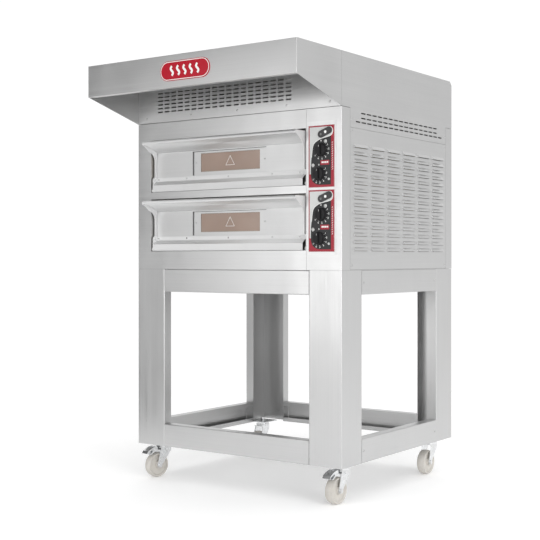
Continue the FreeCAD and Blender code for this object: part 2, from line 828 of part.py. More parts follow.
def door_cheeks(deck):
    """The end plates of a door, each with the stud that it turns on.

    The left plate is cut back beside the flat panel, and the right one below the strip.
    """
    z = DECKS[deck]
    plate = 3
    nose = FRONT - "nose_reach"
    back = FRONT + "door_depth"
    handle = [(back, z), (back, z + 201), (nose + 6, z + 201), (nose, z + 195, 8, -1), (nose, z + 189),
              (FRONT - 22, z + 164, 120, 1)]
    left_edge = [(FRONT + 14, z + 128, 42, 1), (FRONT + 14, z + 64), (FRONT + 3, z + 55),
                 (FRONT + 3, z + 1.5)]
    right_edge = [(FRONT - 5, z + 136, 50, 1), (FRONT - 3, z + 118), (FRONT - 3, z + 64),
                  (FRONT + 16, z + 56), (FRONT + 16, z + 1.5)]
    stud = 7.5
    washer = 2.5
    left = DOOR_LEFT
    right = DOOR_LEFT + "door_width"
    cheeks = []
    for edge, start, stud_start, washer_start in (
            (left_edge, left, left - stud, left - washer),
            (right_edge, right - plate, right, right)):
        body = new_body("cheek")
        pad(body, "YZ", start, plate, [handle + edge])
        pad(body, "YZ", stud_start, stud, circles=[(HINGE_Y, z + "hinge_rise", "hinge_radius")])
        pad(body, "YZ", washer_start, washer, circles=[(HINGE_Y, z + "hinge_rise", 7)])
        cheeks.append(body)
    finish(group(cheeks), f"door_{deck}_cheeks")


def door_glass(deck):
    """The pane clamped behind the window well."""
    z = DECKS[deck]
    lap = 12
    x = OPENING_MIDDLE - size("glass_width") / 2 - lap
    pane = box(x, FRONT + 35.6, z + 75 - lap, size("glass_width") + 2 * lap, 4,
               size("glass_height") + 2 * lap)
    finish(pane, f"door_{deck}_glass")


def door_liner(deck):
    """The inner plate of a door, with the sight opening."""
    z = DECKS[deck]
    body = new_body("door_liner")
    margin = 14
    x = DOOR_LEFT + margin
    y = FRONT + size("door_depth")
    pad(body, "XZ", y, 2, [rectangle(x, z + 11, size("door_width") - 2 * margin, 180)])
    lap = 6
    sight_x = OPENING_MIDDLE - size("glass_width") / 2 - lap
    pocket(body, "XZ", y - 1, 5, [rectangle(sight_x, z + 75 - lap, size("glass_width") + 2 * lap,
                                            size("glass_height") + 2 * lap)])
    finish(body, f"door_{deck}_liner")


# ---------------------------------------------------------------- controls
KNOB_SPOTS = {"ceiling": (404, 136), "hearth": (395, 49)}
SWITCH_SPOT = (421, 199)
SWITCH_LENGTH = 62
SWITCH_HEIGHT = 26
SWITCH_TILT = 21
LAMP_SPOTS = ((423, 166, 6.5), (369, 81, 6.5), (437, 29, 4.5))
OVERLAY_BOTTOMS = {"lower": 922, "upper": 1156}
PLATE_FRONT = FRONT - SHEET
OVERLAY_FRONT = PLATE_FRONT - "overlay_thickness"


def capsule(spot, base, grow, y, length):
    """A tilted round-ended prism standing on the control panel."""
    straight = SWITCH_LENGTH - SWITCH_HEIGHT
    radius = SWITCH_HEIGHT / 2 + grow
    tilt = math.radians(SWITCH_TILT)
    along = (math.cos(tilt) * straight / 2, math.sin(tilt) * straight / 2)
    x = size(spot[0])
    z = size(base) + spot[1]
    ends = [rod(radius, length, x + sign * along[0], y, z + sign * along[1], axis="Y") for sign in (-1, 1)]
    bar = doc.addObject("Part::Box", "capsule_bar")
    bind(bar, "Length", straight)
    bind(bar, "Width", length)
    bind(bar, "Height", 2 * radius)
    turn = Rotation(Vector(0, 1, 0), -SWITCH_TILT)
    bar.Placement = Placement(Vector(), turn)
    corner = turn.multVec(Vector(-straight / 2, 0, -radius))
    place(bar, x + corner.x, y, z + corner.z)
    return fuse(ends + [bar])


def control_holes(base, y, length):
    """The holes that a deck's knobs, lamps and switch need."""
    holes = []
    for x, z in KNOB_SPOTS.values():
        holes.append(rod(3.6, length, x, y, size(base) + z, axis="Y"))
    for x, z, radius in LAMP_SPOTS:
        holes.append(rod(radius + 0.1, length, x, y, size(base) + z, axis="Y"))
    holes.append(capsule(SWITCH_SPOT, base, 0.4, y, length))
    return holes


def control_plate():
    """The sheet that carries the controls of both decks."""
    plate = box("control_left", PLATE_FRONT, "control_bottom", "control_width", SHEET, "control_height")
    holes = []
    for base in OVERLAY_BOTTOMS.values():
        holes += control_holes(base, PLATE_FRONT - 2, 8)
    finish(cut(plate, holes), "control_plate")


def control_overlays():
    """A printed panel for each deck."""
    overlays = []
    x = size("control_left") + (size("control_width") - "overlay_width") / 2
    for base in OVERLAY_BOTTOMS.values():
        leaf = box(x, OVERLAY_FRONT, base, "overlay_width", "overlay_thickness", "overlay_height")
        overlays.append(cut(leaf, control_holes(base, OVERLAY_FRONT - 2, 8)))
    finish(group(overlays), "control_overlays")


def indicator_lamps():
    """Domed lenses that stand in the overlays."""
    lamps = []
    for base in OVERLAY_BOTTOMS.values():
        for x, z, radius in LAMP_SPOTS:
            z_lamp = size(base) + z
            barrel = rod(radius, 14, x, OVERLAY_FRONT - 1, z_lamp, axis="Y")
            dome = doc.addObject("Part::Sphere", "lens")
            bind(dome, "Radius", radius)
            place(dome, x, OVERLAY_FRONT - 1 + radius * 0.6, z_lamp)
            cap_y = OVERLAY_FRONT - 1 - radius
            cap = box(size(x) - radius, cap_y, z_lamp - radius, 2 * radius, radius, 2 * radius)
            front = doc.addObject("Part::Common", "lens_front")
            front.Base = dome
            front.Tool = cap
            lamps.append(fuse([barrel, front]))
    finish(group(lamps), "indicator_lamps")


def thermostat_bodies():
    """The thermostats behind the panel, bored for the knobs' shafts."""
    cases = []
    for base in OVERLAY_BOTTOMS.values():
        for x, z in KNOB_SPOTS.values():
            centre_z = size(base) + z
            case = box(size(x) - 17, FRONT, centre_z - 17, 34, 30, 34)
            bore = rod(3.6, 24, x, FRONT - 1, centre_z, axis="Y")
            cases.append(cut(case, [bore]))
    finish(group(cases), "thermostat_bodies")


def knob(deck, role):
    """A moulded knob: a fluted disc, a pointed bar to grip across it, and its shaft."""
    x, z = KNOB_SPOTS[role]
    radius = size("knob_radius")
    disc = size("knob_disc")
    body = new_body("knob")
    profile = [(0, 0), (radius, 0), (radius, 3), (radius - 1.5, 4.5), (radius - 2.5, disc - 2),
               (radius - 4.5, disc, 2, -1), (0, disc)]
    sketch = new_sketch(body, "XZ", 0, [profile])
    turned = body.newObject("PartDesign::Revolution", "knob_turned")
    turned.Profile = sketch
    turned.ReferenceAxis = (sketch, ["V_Axis"])
    turned.Angle = 360
    pointer = [(-5.5, -18), (5.5, -18), (4.2, 17), (0, 21), (-4.2, 17)]
    pad(body, "XY", disc - 1, size("knob_length") - disc + 1, [pointer])
    pad(body, "XY", -20, 20.5, circles=[(0, 0, 3)])
    flute = pocket(body, "XY", 5, "knob_length", circles=[(0, radius + 5.4, 9)])
    ring = body.newObject("PartDesign::PolarPattern", "knob_flutes")
    ring.Originals = [flute]
    ring.Axis = (flute.Profile[0], ["N_Axis"])
    ring.Angle = 360
    ring.Occurrences = 12
    body.Tip = ring
    body.Placement = Placement(Vector(), Rotation(Vector(1, 0, 0), 90))
    place(body, x, OVERLAY_FRONT - 0.3, size(OVERLAY_BOTTOMS[deck]) + z)
    finish(body, f"knob_{deck}_{role}")


def switch_button(deck):
    """The tilted push button that turns a deck on."""
    proud = 3.2
    button = capsule(SWITCH_SPOT, OVERLAY_BOTTOMS[deck], 0, OVERLAY_FRONT - proud, proud + 10)
    finish(button, f"switch_{deck}")


# ---------------------------------------------------------------- hood
FLUE_Y = 180


def hood_fascia():
    """The deep front board of the hood, folded back at the top and the bottom."""
    t = SHEET
    fold = 22
    low = HOOD_TOP - "fascia_height"
    outline = [(HOOD_FRONT, low), (HOOD_FRONT + fold, low), (HOOD_FRONT + fold, low + t),
               (HOOD_FRONT + t, low + t), (HOOD_FRONT + t, HOOD_TOP - t), (HOOD_FRONT + fold, HOOD_TOP - t),
               (HOOD_FRONT + fold, HOOD_TOP), (HOOD_FRONT, HOOD_TOP)]
    body = new_body("fascia")
    board = pad(body, "YZ", -HALF + t, size("body_width") - t * 2, [outline])
    along = Vector(1, 0, 0)
    bends = [(None, HOOD_FRONT, low), (None, HOOD_FRONT, HOOD_TOP)]
    round_edges(body, board, 2,
                lambda edge: runs_along(edge, along) and any(at_point(edge, *b) for b in bends))
    finish(body, "hood_fascia")


def hood_side(name):
    """A side of the hood: a wedge in front, then a board with a slotted tongue over the oven."""
    side = SIDES[name]
    t = SHEET
    low = HOOD_TOP - "fascia_height"
    tongue_front = FRONT + "front_post" + 0.8
    tongue_rear = REAR - "rear_post" - 0.8
    bevel = 16
    outline = [(HOOD_FRONT, low), (FRONT, OVEN_TOP), (tongue_front, OVEN_TOP),
               (tongue_front, "side_panel_top"),
               (tongue_rear, "side_panel_top"), (tongue_rear, OVEN_TOP), (REAR, OVEN_TOP),
               (REAR, HOOD_TOP - bevel), (REAR - bevel, HOOD_TOP), (HOOD_FRONT, HOOD_TOP)]
    body = new_body("hood_side")
    inner = HALF * side if side < 0 else HALF - t
    board = pad(body, "YZ", inner, t, [outline])
    up = Vector(0, 0, 1)
    round_edges(body, board, 1.3,
                lambda edge: runs_along(edge, up) and at_point(edge, HALF * side, HOOD_FRONT))
    seam = 1.6
    seam_depth = 0.8
    seam_start = HALF - seam_depth if side > 0 else -HALF - 1
    pocket(body, "YZ", seam_start, 1 + seam_depth,
           [rectangle(FRONT - seam / 2, OVEN_TOP - 5, seam, HOOD_TOP - OVEN_TOP + 10)])
    for z, first, count in ((1429, 152, 15), (1411, 152, 15), (1395, 114, 17)):
        row = pocket(body, "YZ", HALF * side - 3, 6, [slot(FRONT + first - 16.5, z + 1, 33, 5)])
        repeat_along(body, row, "Y", (count, 41), (1, 1))
    finish(body, f"hood_side_{name}")


def hood_top():
    """The roof of the hood, folded down at the back, with the hole for the flue."""
    t = SHEET
    bevel = 16
    front = HOOD_FRONT + 23
    outline = [(front, HOOD_TOP - t), (REAR - bevel - 1, HOOD_TOP - t),
               (REAR - t - 0.5, HOOD_TOP - bevel - 1),
               (REAR - t - 0.5, OVEN_TOP), (REAR - 0.5, OVEN_TOP), (REAR - 0.5, HOOD_TOP - bevel),
               (REAR - bevel, HOOD_TOP), (front, HOOD_TOP)]
    body = new_body("hood_top")
    pad(body, "YZ", -HALF + t + 0.2, size("body_width") - t * 2 - 0.4, [outline])
    pocket(body, "XY", HOOD_TOP - 5, 10, circles=[(0, FLUE_Y, size("collar_radius") - 1)])
    finish(body, "hood_top")


def hood_grille():
    """The slotted panel at the back of the hood's mouth, over the doors."""
    t = SHEET
    body = new_body("hood_grille")
    pad(body, "XZ", FRONT, t, [rectangle(-HALF + t + 0.3, OVEN_TOP + 0.5, size("body_width") - t * 2 - 0.6,
                                         HOOD_TOP - OVEN_TOP - 2.5)])
    row = pocket(body, "XZ", FRONT - 1, 4, [slot(-383, 1485, 27, 5.5)])
    repeat_along(body, row, "X", (19, "grille_pitch_x"), (6, "grille_pitch_z"))
    finish(body, "hood_grille")


def flue_collar():
    """The round outlet that an extraction duct slips over."""
    radius = size("collar_radius")
    flange = rod(radius + 18, 1.5, 0, FLUE_Y, HOOD_TOP)
    tube = rod(radius, "collar_height", 0, FLUE_Y, HOOD_TOP)
    bore = rod(radius - 1.5, size("collar_height") + 10, 0, FLUE_Y, HOOD_TOP - 5)
    finish(cut(fuse([flange, tube]), [bore]), "flue_collar")


def badge():
    """A plain round-ended plate on the fascia."""
    radius = size("badge_height") / 2
    z = HOOD_TOP - size("fascia_height") / 2
    y = HOOD_FRONT - "badge_thickness"
    straight = size("badge_width") - "badge_height"
    ends = [rod(radius, "badge_thickness", straight * half, y, z, axis="Y") for half in (-0.5, 0.5)]
    bar = box(-straight / 2, y, z - radius, straight, "badge_thickness", "badge_height")
    finish(fuse(ends + [bar]), "badge")


# ---------------------------------------------------------------- fasteners
SCREW_RADIUS = 4.2
SCREW_HEAD = 2


def side_screw(side, y, z):
    """A screw whose head stands out from a side of the machine."""
    start = HALF if side > 0 else -HALF - SCREW_HEAD
    return rod(SCREW_RADIUS, SCREW_HEAD, start, y, z, axis="X")


def panel_screws():
    """The screws whose heads show on the casing."""
    heads = []
    for side in SIDES.values():
        for y in (FRONT + 70, REAR - 67):
            for z in (872, 1362, 1408):
                heads.append(side_screw(side, y, z))
        for y in (FRONT + 155, REAR - 155):
            for z in (STAND_BOTTOM + 45, STAND_TOP - 45):
                heads.append(side_screw(side, y, z))
    for x in (-440, -210, 20, 250, 440):
        heads.append(rod(SCREW_RADIUS, SCREW_HEAD, x, FRONT - SCREW_HEAD, 1466, axis="Y"))
    finish(group(heads), "casing_screws")


# ---------------------------------------------------------------- build everything
def build():
    for corner in CORNERS:
        stand_leg(corner)
    for place_name in ("front", "rear", "left", "right"):
        stand_channel("stand_beam", place_name, STAND_TOP - "rail_height")
        stand_channel("stand_rail", place_name, STAND_BOTTOM)
    caster_mounts()
    for corner in CORNERS:
        caster_fork(corner)
        caster_wheel(corner)
        if corner.startswith("front"):
            brake_pedal(corner)
    floor_pan()
    front_panel()
    for name in SIDES:
        side_panel(name)
    back_panel()
    cable_gland()
    for deck in DECKS:
        chamber(deck)
        door_skin(deck)
        door_cheeks(deck)
        door_glass(deck)
        door_liner(deck)
        switch_button(deck)
        for role in KNOB_SPOTS:
            knob(deck, role)
    stone_floors()
    heating_elements()
    insulation()
    control_plate()
    control_overlays()
    indicator_lamps()
    thermostat_bodies()
    hood_fascia()
    for name in SIDES:
        hood_side(name)
    hood_top()
    hood_grille()
    flue_collar()
    badge()
    panel_screws()


def check_objects():
    """Stop if any object failed, or any sub-part is empty or broken."""
    for obj in doc.Objects:
        if "Invalid" in obj.State or "Error" in obj.State:
            raise RuntimeError(f"{obj.Label} failed: {obj.State}")
    for obj in doc.Objects:
        if obj.TypeId == "PartDesign::Pocket" and obj.Shape.Volume > obj.BaseFeature.Shape.Volume - 1:
            raise RuntimeError(f"{obj.Label} cuts nothing")
    for obj in finished:
        if obj.Shape.isNull() or not obj.Shape.isValid():
            raise RuntimeError(f"{obj.Label} has no valid shape")


build()
doc.recompute()
check_objects()
os.makedirs("parts", exist_ok=True)
for node in finished:
    node.Shape.exportStep(f"parts/{node.Label}.step")
    print(f"{node.Label:28s} {len(node.Shape.Solids):3d} solids {node.Shape.Volume / 1000:10.1f} cm3")
print(len(finished), "nodes")
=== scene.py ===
import math

import bmesh
import bpy
from mathutils import Matrix, Vector


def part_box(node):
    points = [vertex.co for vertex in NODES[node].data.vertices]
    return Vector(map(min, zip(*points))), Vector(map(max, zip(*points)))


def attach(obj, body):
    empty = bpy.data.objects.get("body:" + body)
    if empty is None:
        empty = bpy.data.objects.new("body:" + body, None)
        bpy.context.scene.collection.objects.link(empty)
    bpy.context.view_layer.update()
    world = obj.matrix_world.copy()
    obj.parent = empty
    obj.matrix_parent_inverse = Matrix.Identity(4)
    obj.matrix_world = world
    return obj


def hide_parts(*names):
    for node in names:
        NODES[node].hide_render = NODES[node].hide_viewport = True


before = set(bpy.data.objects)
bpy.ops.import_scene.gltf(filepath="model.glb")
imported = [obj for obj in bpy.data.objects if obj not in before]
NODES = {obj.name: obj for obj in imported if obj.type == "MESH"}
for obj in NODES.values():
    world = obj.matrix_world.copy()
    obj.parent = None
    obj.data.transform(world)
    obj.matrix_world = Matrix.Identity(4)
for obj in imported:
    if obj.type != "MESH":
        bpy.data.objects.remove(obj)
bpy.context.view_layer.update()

DECKS = ("lower", "upper")
HALF_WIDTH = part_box("front_panel")[1][0]
FRONT_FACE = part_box("front_panel")[0][1]
REAR_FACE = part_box("back_panel")[1][1]
MM = 0.001
# How far in from the casing's outline a sheet still counts as the outer skin.
SKIN = 0.0012
# The face of a closed door's panel, how far behind it the walls of the window well lie, and how
# far in front of it the handle starts.
DOOR_FACE = FRONT_FACE + 0.026
WELL_WALLS = (0.0003, 0.0071)
HANDLE_CLEAR = 0.0006


# ------------------------------------------------------------------ node helpers
class Shader:
    """A material with a Principled shader and short calls for the nodes around it."""

    def __init__(self, name, **constants):
        self.material = bpy.data.materials.new(name)
        self.material.use_nodes = True
        self.tree = self.material.node_tree
        self.surface = self.tree.nodes["Principled BSDF"]
        for socket, value in constants.items():
            self.surface.inputs[socket.replace("_", " ")].default_value = value
        self.place = self.node("ShaderNodeTexCoord").outputs["Object"]

    def node(self, kind, **settings):
        made = self.tree.nodes.new(kind)
        for key, value in settings.items():
            setattr(made, key, value)
        return made

    def join(self, source, target):
        self.tree.links.new(source, target)

    def stretched(self, scale, source=None):
        """Coordinates scaled by a different amount along each axis."""
        mapping = self.node("ShaderNodeMapping")
        mapping.inputs["Scale"].default_value = scale
        self.join(source or self.place, mapping.inputs["Vector"])
        return mapping.outputs["Vector"]

    def noise(self, scale, vector=None, detail=4.0, roughness=0.55):
        made = self.node("ShaderNodeTexNoise")
        made.inputs["Scale"].default_value = scale
        made.inputs["Detail"].default_value = detail
        made.inputs["Roughness"].default_value = roughness
        self.join(vector or self.place, made.inputs["Vector"])
        return made.outputs["Fac"]

    def spread(self, source, low, high, source_low=0.3, source_high=0.7):
        """Rescale a value from one range to another."""
        made = self.node("ShaderNodeMapRange")
        made.inputs["From Min"].default_value = source_low
        made.inputs["From Max"].default_value = source_high
        made.inputs["To Min"].default_value = low
        made.inputs["To Max"].default_value = high
        self.join(source, made.inputs["Value"])
        return made.outputs["Result"]

    def ramp(self, source, stops):
        """A colour for each value; stops are (place, colour)."""
        made = self.node("ShaderNodeValToRGB")
        elements = made.color_ramp.elements
        while len(elements) < len(stops):
            elements.new(0.5)
        for element, (at, colour) in zip(elements, stops):
            element.position = at
            element.color = (*colour, 1.0)
        self.join(source, made.inputs["Fac"])
        return made.outputs["Color"]

    def mix(self, factor, first, second, blend="MIX"):
        """Blend two colours; each is a socket or an RGB triple."""
        made = self.node("ShaderNodeMix", data_type="RGBA", blend_type=blend)
        for socket, value in ((made.inputs["Factor"], factor), (made.inputs["A"], first),
                              (made.inputs["B"], second)):
            self._feed(socket, value)
        return made.outputs["Result"]

    def math(self, operation, first, second=0.0):
        made = self.node("ShaderNodeMath", operation=operation)
        self._feed(made.inputs[0], first)
        self._feed(made.inputs[1], second)
        return made.outputs[0]

    def _feed(self, socket, value):
        if isinstance(value, bpy.types.NodeSocket):
            self.join(value, socket)
        elif isinstance(value, tuple):
            socket.default_value = (*value, 1.0)
        else:
            socket.default_value = value

    def along(self, axis):
        """Where each point lies along X, Y or Z."""
        apart = self.node("ShaderNodeSeparateXYZ")
        self.join(self.place, apart.inputs[0])
        return apart.outputs[axis]

    def between(self, value, low, high):
        """1 where a value lies between two limits, and 0 elsewhere."""
        return self.math("MULTIPLY", self.math("GREATER_THAN", value, low),
                         self.math("LESS_THAN", value, high))

    def colour(self, source):
        self.join(source, self.surface.inputs["Base Color"])

    def rough(self, source):
        self.join(source, self.surface.inputs["Roughness"])

    def bump(self, source, strength, distance):
        made = self.node("ShaderNodeBump")
        made.inputs["Strength"].default_value = strength
        made.inputs["Distance"].default_value = distance
        self.join(source, made.inputs["Height"])
        if self.surface.inputs["Normal"].is_linked:
            self.join(self.surface.inputs["Normal"].links[0].from_socket, made.inputs["Normal"])
        self.join(made.outputs["Normal"], self.surface.inputs["Normal"])


# ------------------------------------------------------------------ materials
GRAINS = {"X": (2.0, 420.0, 420.0), "Y": (420.0, 2.0, 420.0), "Z": (420.0, 420.0, 2.0)}
# How much brighter steel is painted on a door's handle, as painted light, and how much rougher it is there.
HANDLE_LIGHT_TONE = 1.25
HANDLE_ROUGH = 0.28


def shade(colour, factor):
    """A colour made darker or lighter by a factor."""
    return tuple(min(1.0, channel * factor) for channel in colour)


def within_well(look):
    """A mask that is 1 on the walls of the window well in a door, and 0 on its two faces."""
    return look.between(look.along("Y"), DOOR_FACE + WELL_WALLS[0], DOOR_FACE + WELL_WALLS[1])


def on_handle(look):
    """A mask that is 1 on the part of a door that stands out from its panel as the handle."""
    return look.math("LESS_THAN", look.along("Y"), DOOR_FACE - HANDLE_CLEAR)


def within_casing(look):
    """A mask that is 1 on the sheets' inner faces and 0 on the outer skin of the machine."""
    across = look.math("LESS_THAN", look.math("ABSOLUTE", look.along("X")), HALF_WIDTH - SKIN)
    deep = look.between(look.along("Y"), FRONT_FACE + SKIN, REAR_FACE - SKIN)
    return look.math("MULTIPLY", across, deep)


def brushed_steel(name, grain, tone=0.60, rough=0.34, smudge=0.05, soil=0.0, inner_shade=1.0,
                  shade_mask=within_casing, handle_light_mask=None):
    """Satin stainless sheet: fine streaks along the grain and faint smears.

    The factor for inner faces is painted shade: it darkens the faces where its mask is 1, the
    sheets' inner faces or the walls of a door's window well. The handle mask is 1 where painted
    light makes the sheet brighter; the sheet is also made more matt there.
    """
    look = Shader(name, Metallic=1.0, Anisotropic=0.35)
    streaks = look.noise(1.0, look.stretched(GRAINS[grain]), detail=6.0, roughness=0.7)
    long_streaks = look.noise(0.35, look.stretched(GRAINS[grain]), detail=2.0)
    clouds = look.noise(3.1, detail=3.0)
    smears = look.noise(7.0, look.stretched((1.0, 1.0, 0.35)), detail=5.0, roughness=0.6)
    base = look.ramp(streaks, [(0.25, shade((0.93, 0.93, 0.93), tone)),
                               (0.75, shade((1.05, 1.05, 1.045), tone))])
    base = look.mix(look.spread(clouds, 0.0, 0.35), base, shade((0.96, 0.965, 0.975), tone))
    base = look.mix(look.spread(smears, 0.0, smudge, 0.52, 0.75), base, shade((0.8, 0.79, 0.77), tone))
    if soil:
        heat = look.noise(2.2, detail=4.0)
        base = look.mix(look.spread(heat, 0.0, soil, 0.42, 0.7), base, shade((0.62, 0.5, 0.36), tone))
    # Painted shade: darken the faces where the shade mask is 1.
    if inner_shade < 1.0:
        base = look.mix(shade_mask(look), base, look.mix(1.0, base, (inner_shade,) * 3, blend="MULTIPLY"))
    roughness = look.math("ADD", look.spread(streaks, -0.05, 0.06),
                          look.spread(smears, rough - 0.02, rough + 0.07))
    # Painted light: the handle is brightened, and also made rougher.
    if handle_light_mask:
        handle_light = handle_light_mask(look)
        base = look.mix(handle_light, base, look.mix(1.0, base, (HANDLE_LIGHT_TONE,) * 3, blend="MULTIPLY"))
        roughness = look.math("ADD", roughness, look.math("MULTIPLY", handle_light, HANDLE_ROUGH))
    look.colour(base)
    look.rough(look.math("ADD", roughness, look.spread(long_streaks, -0.02, 0.02)))
    look.bump(streaks, 0.18, 0.00006)
    look.bump(clouds, 0.10, 0.0012)
    return look.material


def zinc():
    """Bright zinc plate: spangled tone, small rolling marks, dull in cloudy patches."""
    look = Shader("zinc_plate", Metallic=1.0)
    grains = look.node("ShaderNodeTexVoronoi")
    grains.inputs["Scale"].default_value = 260.0
    look.join(look.place, grains.inputs["Vector"])
    cloud = look.noise(45.0, detail=5.0)
    tone = look.ramp(grains.outputs["Distance"], [(0.0, (0.70, 0.71, 0.73)), (0.8, (0.84, 0.85, 0.86))])
    look.colour(look.mix(look.spread(cloud, 0.0, 0.5), tone, (0.60, 0.60, 0.59)))
    look.rough(look.spread(cloud, 0.18, 0.36))
    look.bump(cloud, 0.25, 0.0002)
    return look.material


def moulded(name, colour, rough, grain_scale=900.0, grain=0.35, mottle=0.12, **constants):
    """Moulded plastic: a fine spark-eroded grain over a slightly uneven colour."""
    look = Shader(name, **constants)
    fine = look.noise(grain_scale, detail=3.0, roughness=0.7)
    cloud = look.noise(28.0, detail=3.0)
    darker = shade(colour, 0.8)
    lighter = tuple(min(1.0, c * 1.12 + 0.004) for c in colour)
    tone = look.ramp(fine, [(0.3, darker), (0.7, lighter)])
    look.colour(look.mix(look.spread(cloud, 0.0, mottle), tone, darker))
    look.rough(look.math("ADD", look.spread(fine, -0.06, 0.06),
                         look.spread(cloud, rough - 0.04, rough + 0.05)))
    look.bump(fine, grain, 0.00008)
    return look.material


def nylon():
    """Off-white wheel nylon: scuffed and a little grey on the tread."""
    look = Shader("wheel_nylon", Subsurface_Weight=0.08, Subsurface_Scale=0.004)
    look.surface.inputs["Subsurface Radius"].default_value = (1.0, 0.9, 0.7)
    scuff = look.noise(75.0, detail=8.0, roughness=0.7)
    cloud = look.noise(16.0, detail=3.0)
    tone = look.ramp(cloud, [(0.3, (0.54, 0.515, 0.475)), (0.7, (0.63, 0.605, 0.565))])
    look.colour(look.mix(look.spread(scuff, 0.0, 0.55, 0.52, 0.8), tone, (0.42, 0.40, 0.37)))
    look.rough(look.spread(scuff, 0.36, 0.62))
    look.bump(scuff, 0.3, 0.0003)
    return look.material


def print_ink(name, colour, rough=0.32):
    """Ink under a polyester film: a very fine texture and a soft gloss coat."""
    look = Shader(name, Specular_IOR_Level=0.25, Coat_Weight=0.12, Coat_Roughness=0.22)
    weave = look.noise(1500.0, detail=2.0)
    cloud = look.noise(12.0, detail=2.0)
    tone = look.ramp(weave, [(0.3, shade(colour, 0.9)), (0.7, shade(colour, 1.06))])
    look.colour(look.mix(look.spread(cloud, 0.0, 0.1), tone, shade(colour, 0.75)))
    look.rough(look.spread(weave, rough - 0.05, rough + 0.07))
    look.bump(weave, 0.2, 0.00004)
    return look.material


def tinted_glass():
    """Heat-proof glass with a warm tint, faint smears and baked-on haze."""
    look = Shader("oven_glass", IOR=1.48, Transmission_Weight=0.55, Specular_IOR_Level=0.6)
    haze = look.noise(14.0, look.stretched((1.0, 1.0, 1.6)), detail=6.0, roughness=0.65)
    drift = look.noise(5.0, detail=2.0)
    tone = look.ramp(drift, [(0.3, (0.60, 0.44, 0.36)), (0.7, (0.72, 0.56, 0.47))])
    look.colour(look.mix(look.spread(haze, 0.0, 0.35, 0.45, 0.8), tone, (0.62, 0.52, 0.45)))
    look.rough(look.spread(haze, 0.06, 0.22))
    return look.material


def refractory():
    """Fired stone: sandy grain, pores and toasted patches."""
    look = Shader("refractory_stone", Roughness=0.9)
    grain = look.noise(320.0, detail=6.0, roughness=0.75)
    patch = look.noise(9.0, detail=5.0)
    pores = look.node("ShaderNodeTexVoronoi")
    pores.inputs["Scale"].default_value = 210.0
    look.join(look.place, pores.inputs["Vector"])
    tone = look.ramp(grain, [(0.25, (0.42, 0.34, 0.24)), (0.8, (0.66, 0.57, 0.43))])
    look.colour(look.mix(look.spread(patch, 0.0, 0.6, 0.45, 0.75), tone, (0.20, 0.14, 0.09)))
    look.rough(look.spread(patch, 0.95, 0.75))
    look.bump(grain, 0.5, 0.0006)
    look.bump(look.spread(pores.outputs["Distance"], 0.0, 1.0, 0.0, 0.35), 0.4, 0.0005)
    return look.material


def rod_metal():
    """A heating rod: dark oxide with brown scorching."""
    look = Shader("heater_sheath", Metallic=0.85)
    scorch = look.noise(30.0, detail=6.0)
    look.colour(look.ramp(scorch, [(0.3, (0.05, 0.048, 0.05)), (0.62, (0.14, 0.115, 0.10)),
                                   (0.8, (0.24, 0.17, 0.12))]))
    look.rough(look.spread(scorch, 0.42, 0.68))
    look.bump(scorch, 0.3, 0.0003)
    return look.material


def mineral_wool():
    """Matted wool fibres."""
    look = Shader("mineral_wool", Sheen_Weight=0.4, Roughness=0.95)
    fibre = look.noise(180.0, look.stretched((1.0, 6.0, 1.0)), detail=8.0, roughness=0.8)
    look.colour(look.ramp(fibre, [(0.25, (0.48, 0.42, 0.24)), (0.75, (0.82, 0.76, 0.56))]))
    look.rough(look.spread(fibre, 0.85, 1.0))
    look.bump(fibre, 0.8, 0.002)
    return look.material


def lens(name, colour, glow=0.0):
    """A faceted signal lens."""
    look = Shader(name, Transmission_Weight=0.35, Coat_Weight=0.8, Coat_Roughness=0.05)
    if glow:
        look.surface.inputs["Emission Color"].default_value = (*colour, 1.0)
        look.surface.inputs["Emission Strength"].default_value = glow
    facets = look.node("ShaderNodeTexVoronoi")
    facets.inputs["Scale"].default_value = 620.0
    look.join(look.place, facets.inputs["Vector"])
    look.colour(look.ramp(facets.outputs["Distance"], [(0.0, colour), (0.7, shade(colour, 0.85))]))
    look.rough(look.spread(facets.outputs["Distance"], 0.08, 0.2, 0.0, 0.8))
    look.bump(facets.outputs["Distance"], 0.3, 0.0003)
    return look.material


def rope_seal():
    """Woven glass-fibre rope."""
    look = Shader("fibre_rope", Roughness=0.85, Sheen_Weight=0.3)
    wave = look.node("ShaderNodeTexWave")
    wave.inputs["Scale"].default_value = 180.0
    wave.inputs["Distortion"].default_value = 2.5
    look.join(look.place, wave.inputs["Vector"])
    look.colour(look.ramp(wave.outputs["Fac"], [(0.2, (0.20, 0.19, 0.17)), (0.8, (0.44, 0.42, 0.38))]))
    look.rough(look.spread(wave.outputs["Fac"], 0.75, 0.95))
    look.bump(wave.outputs["Fac"], 0.6, 0.0006)
    return look.material


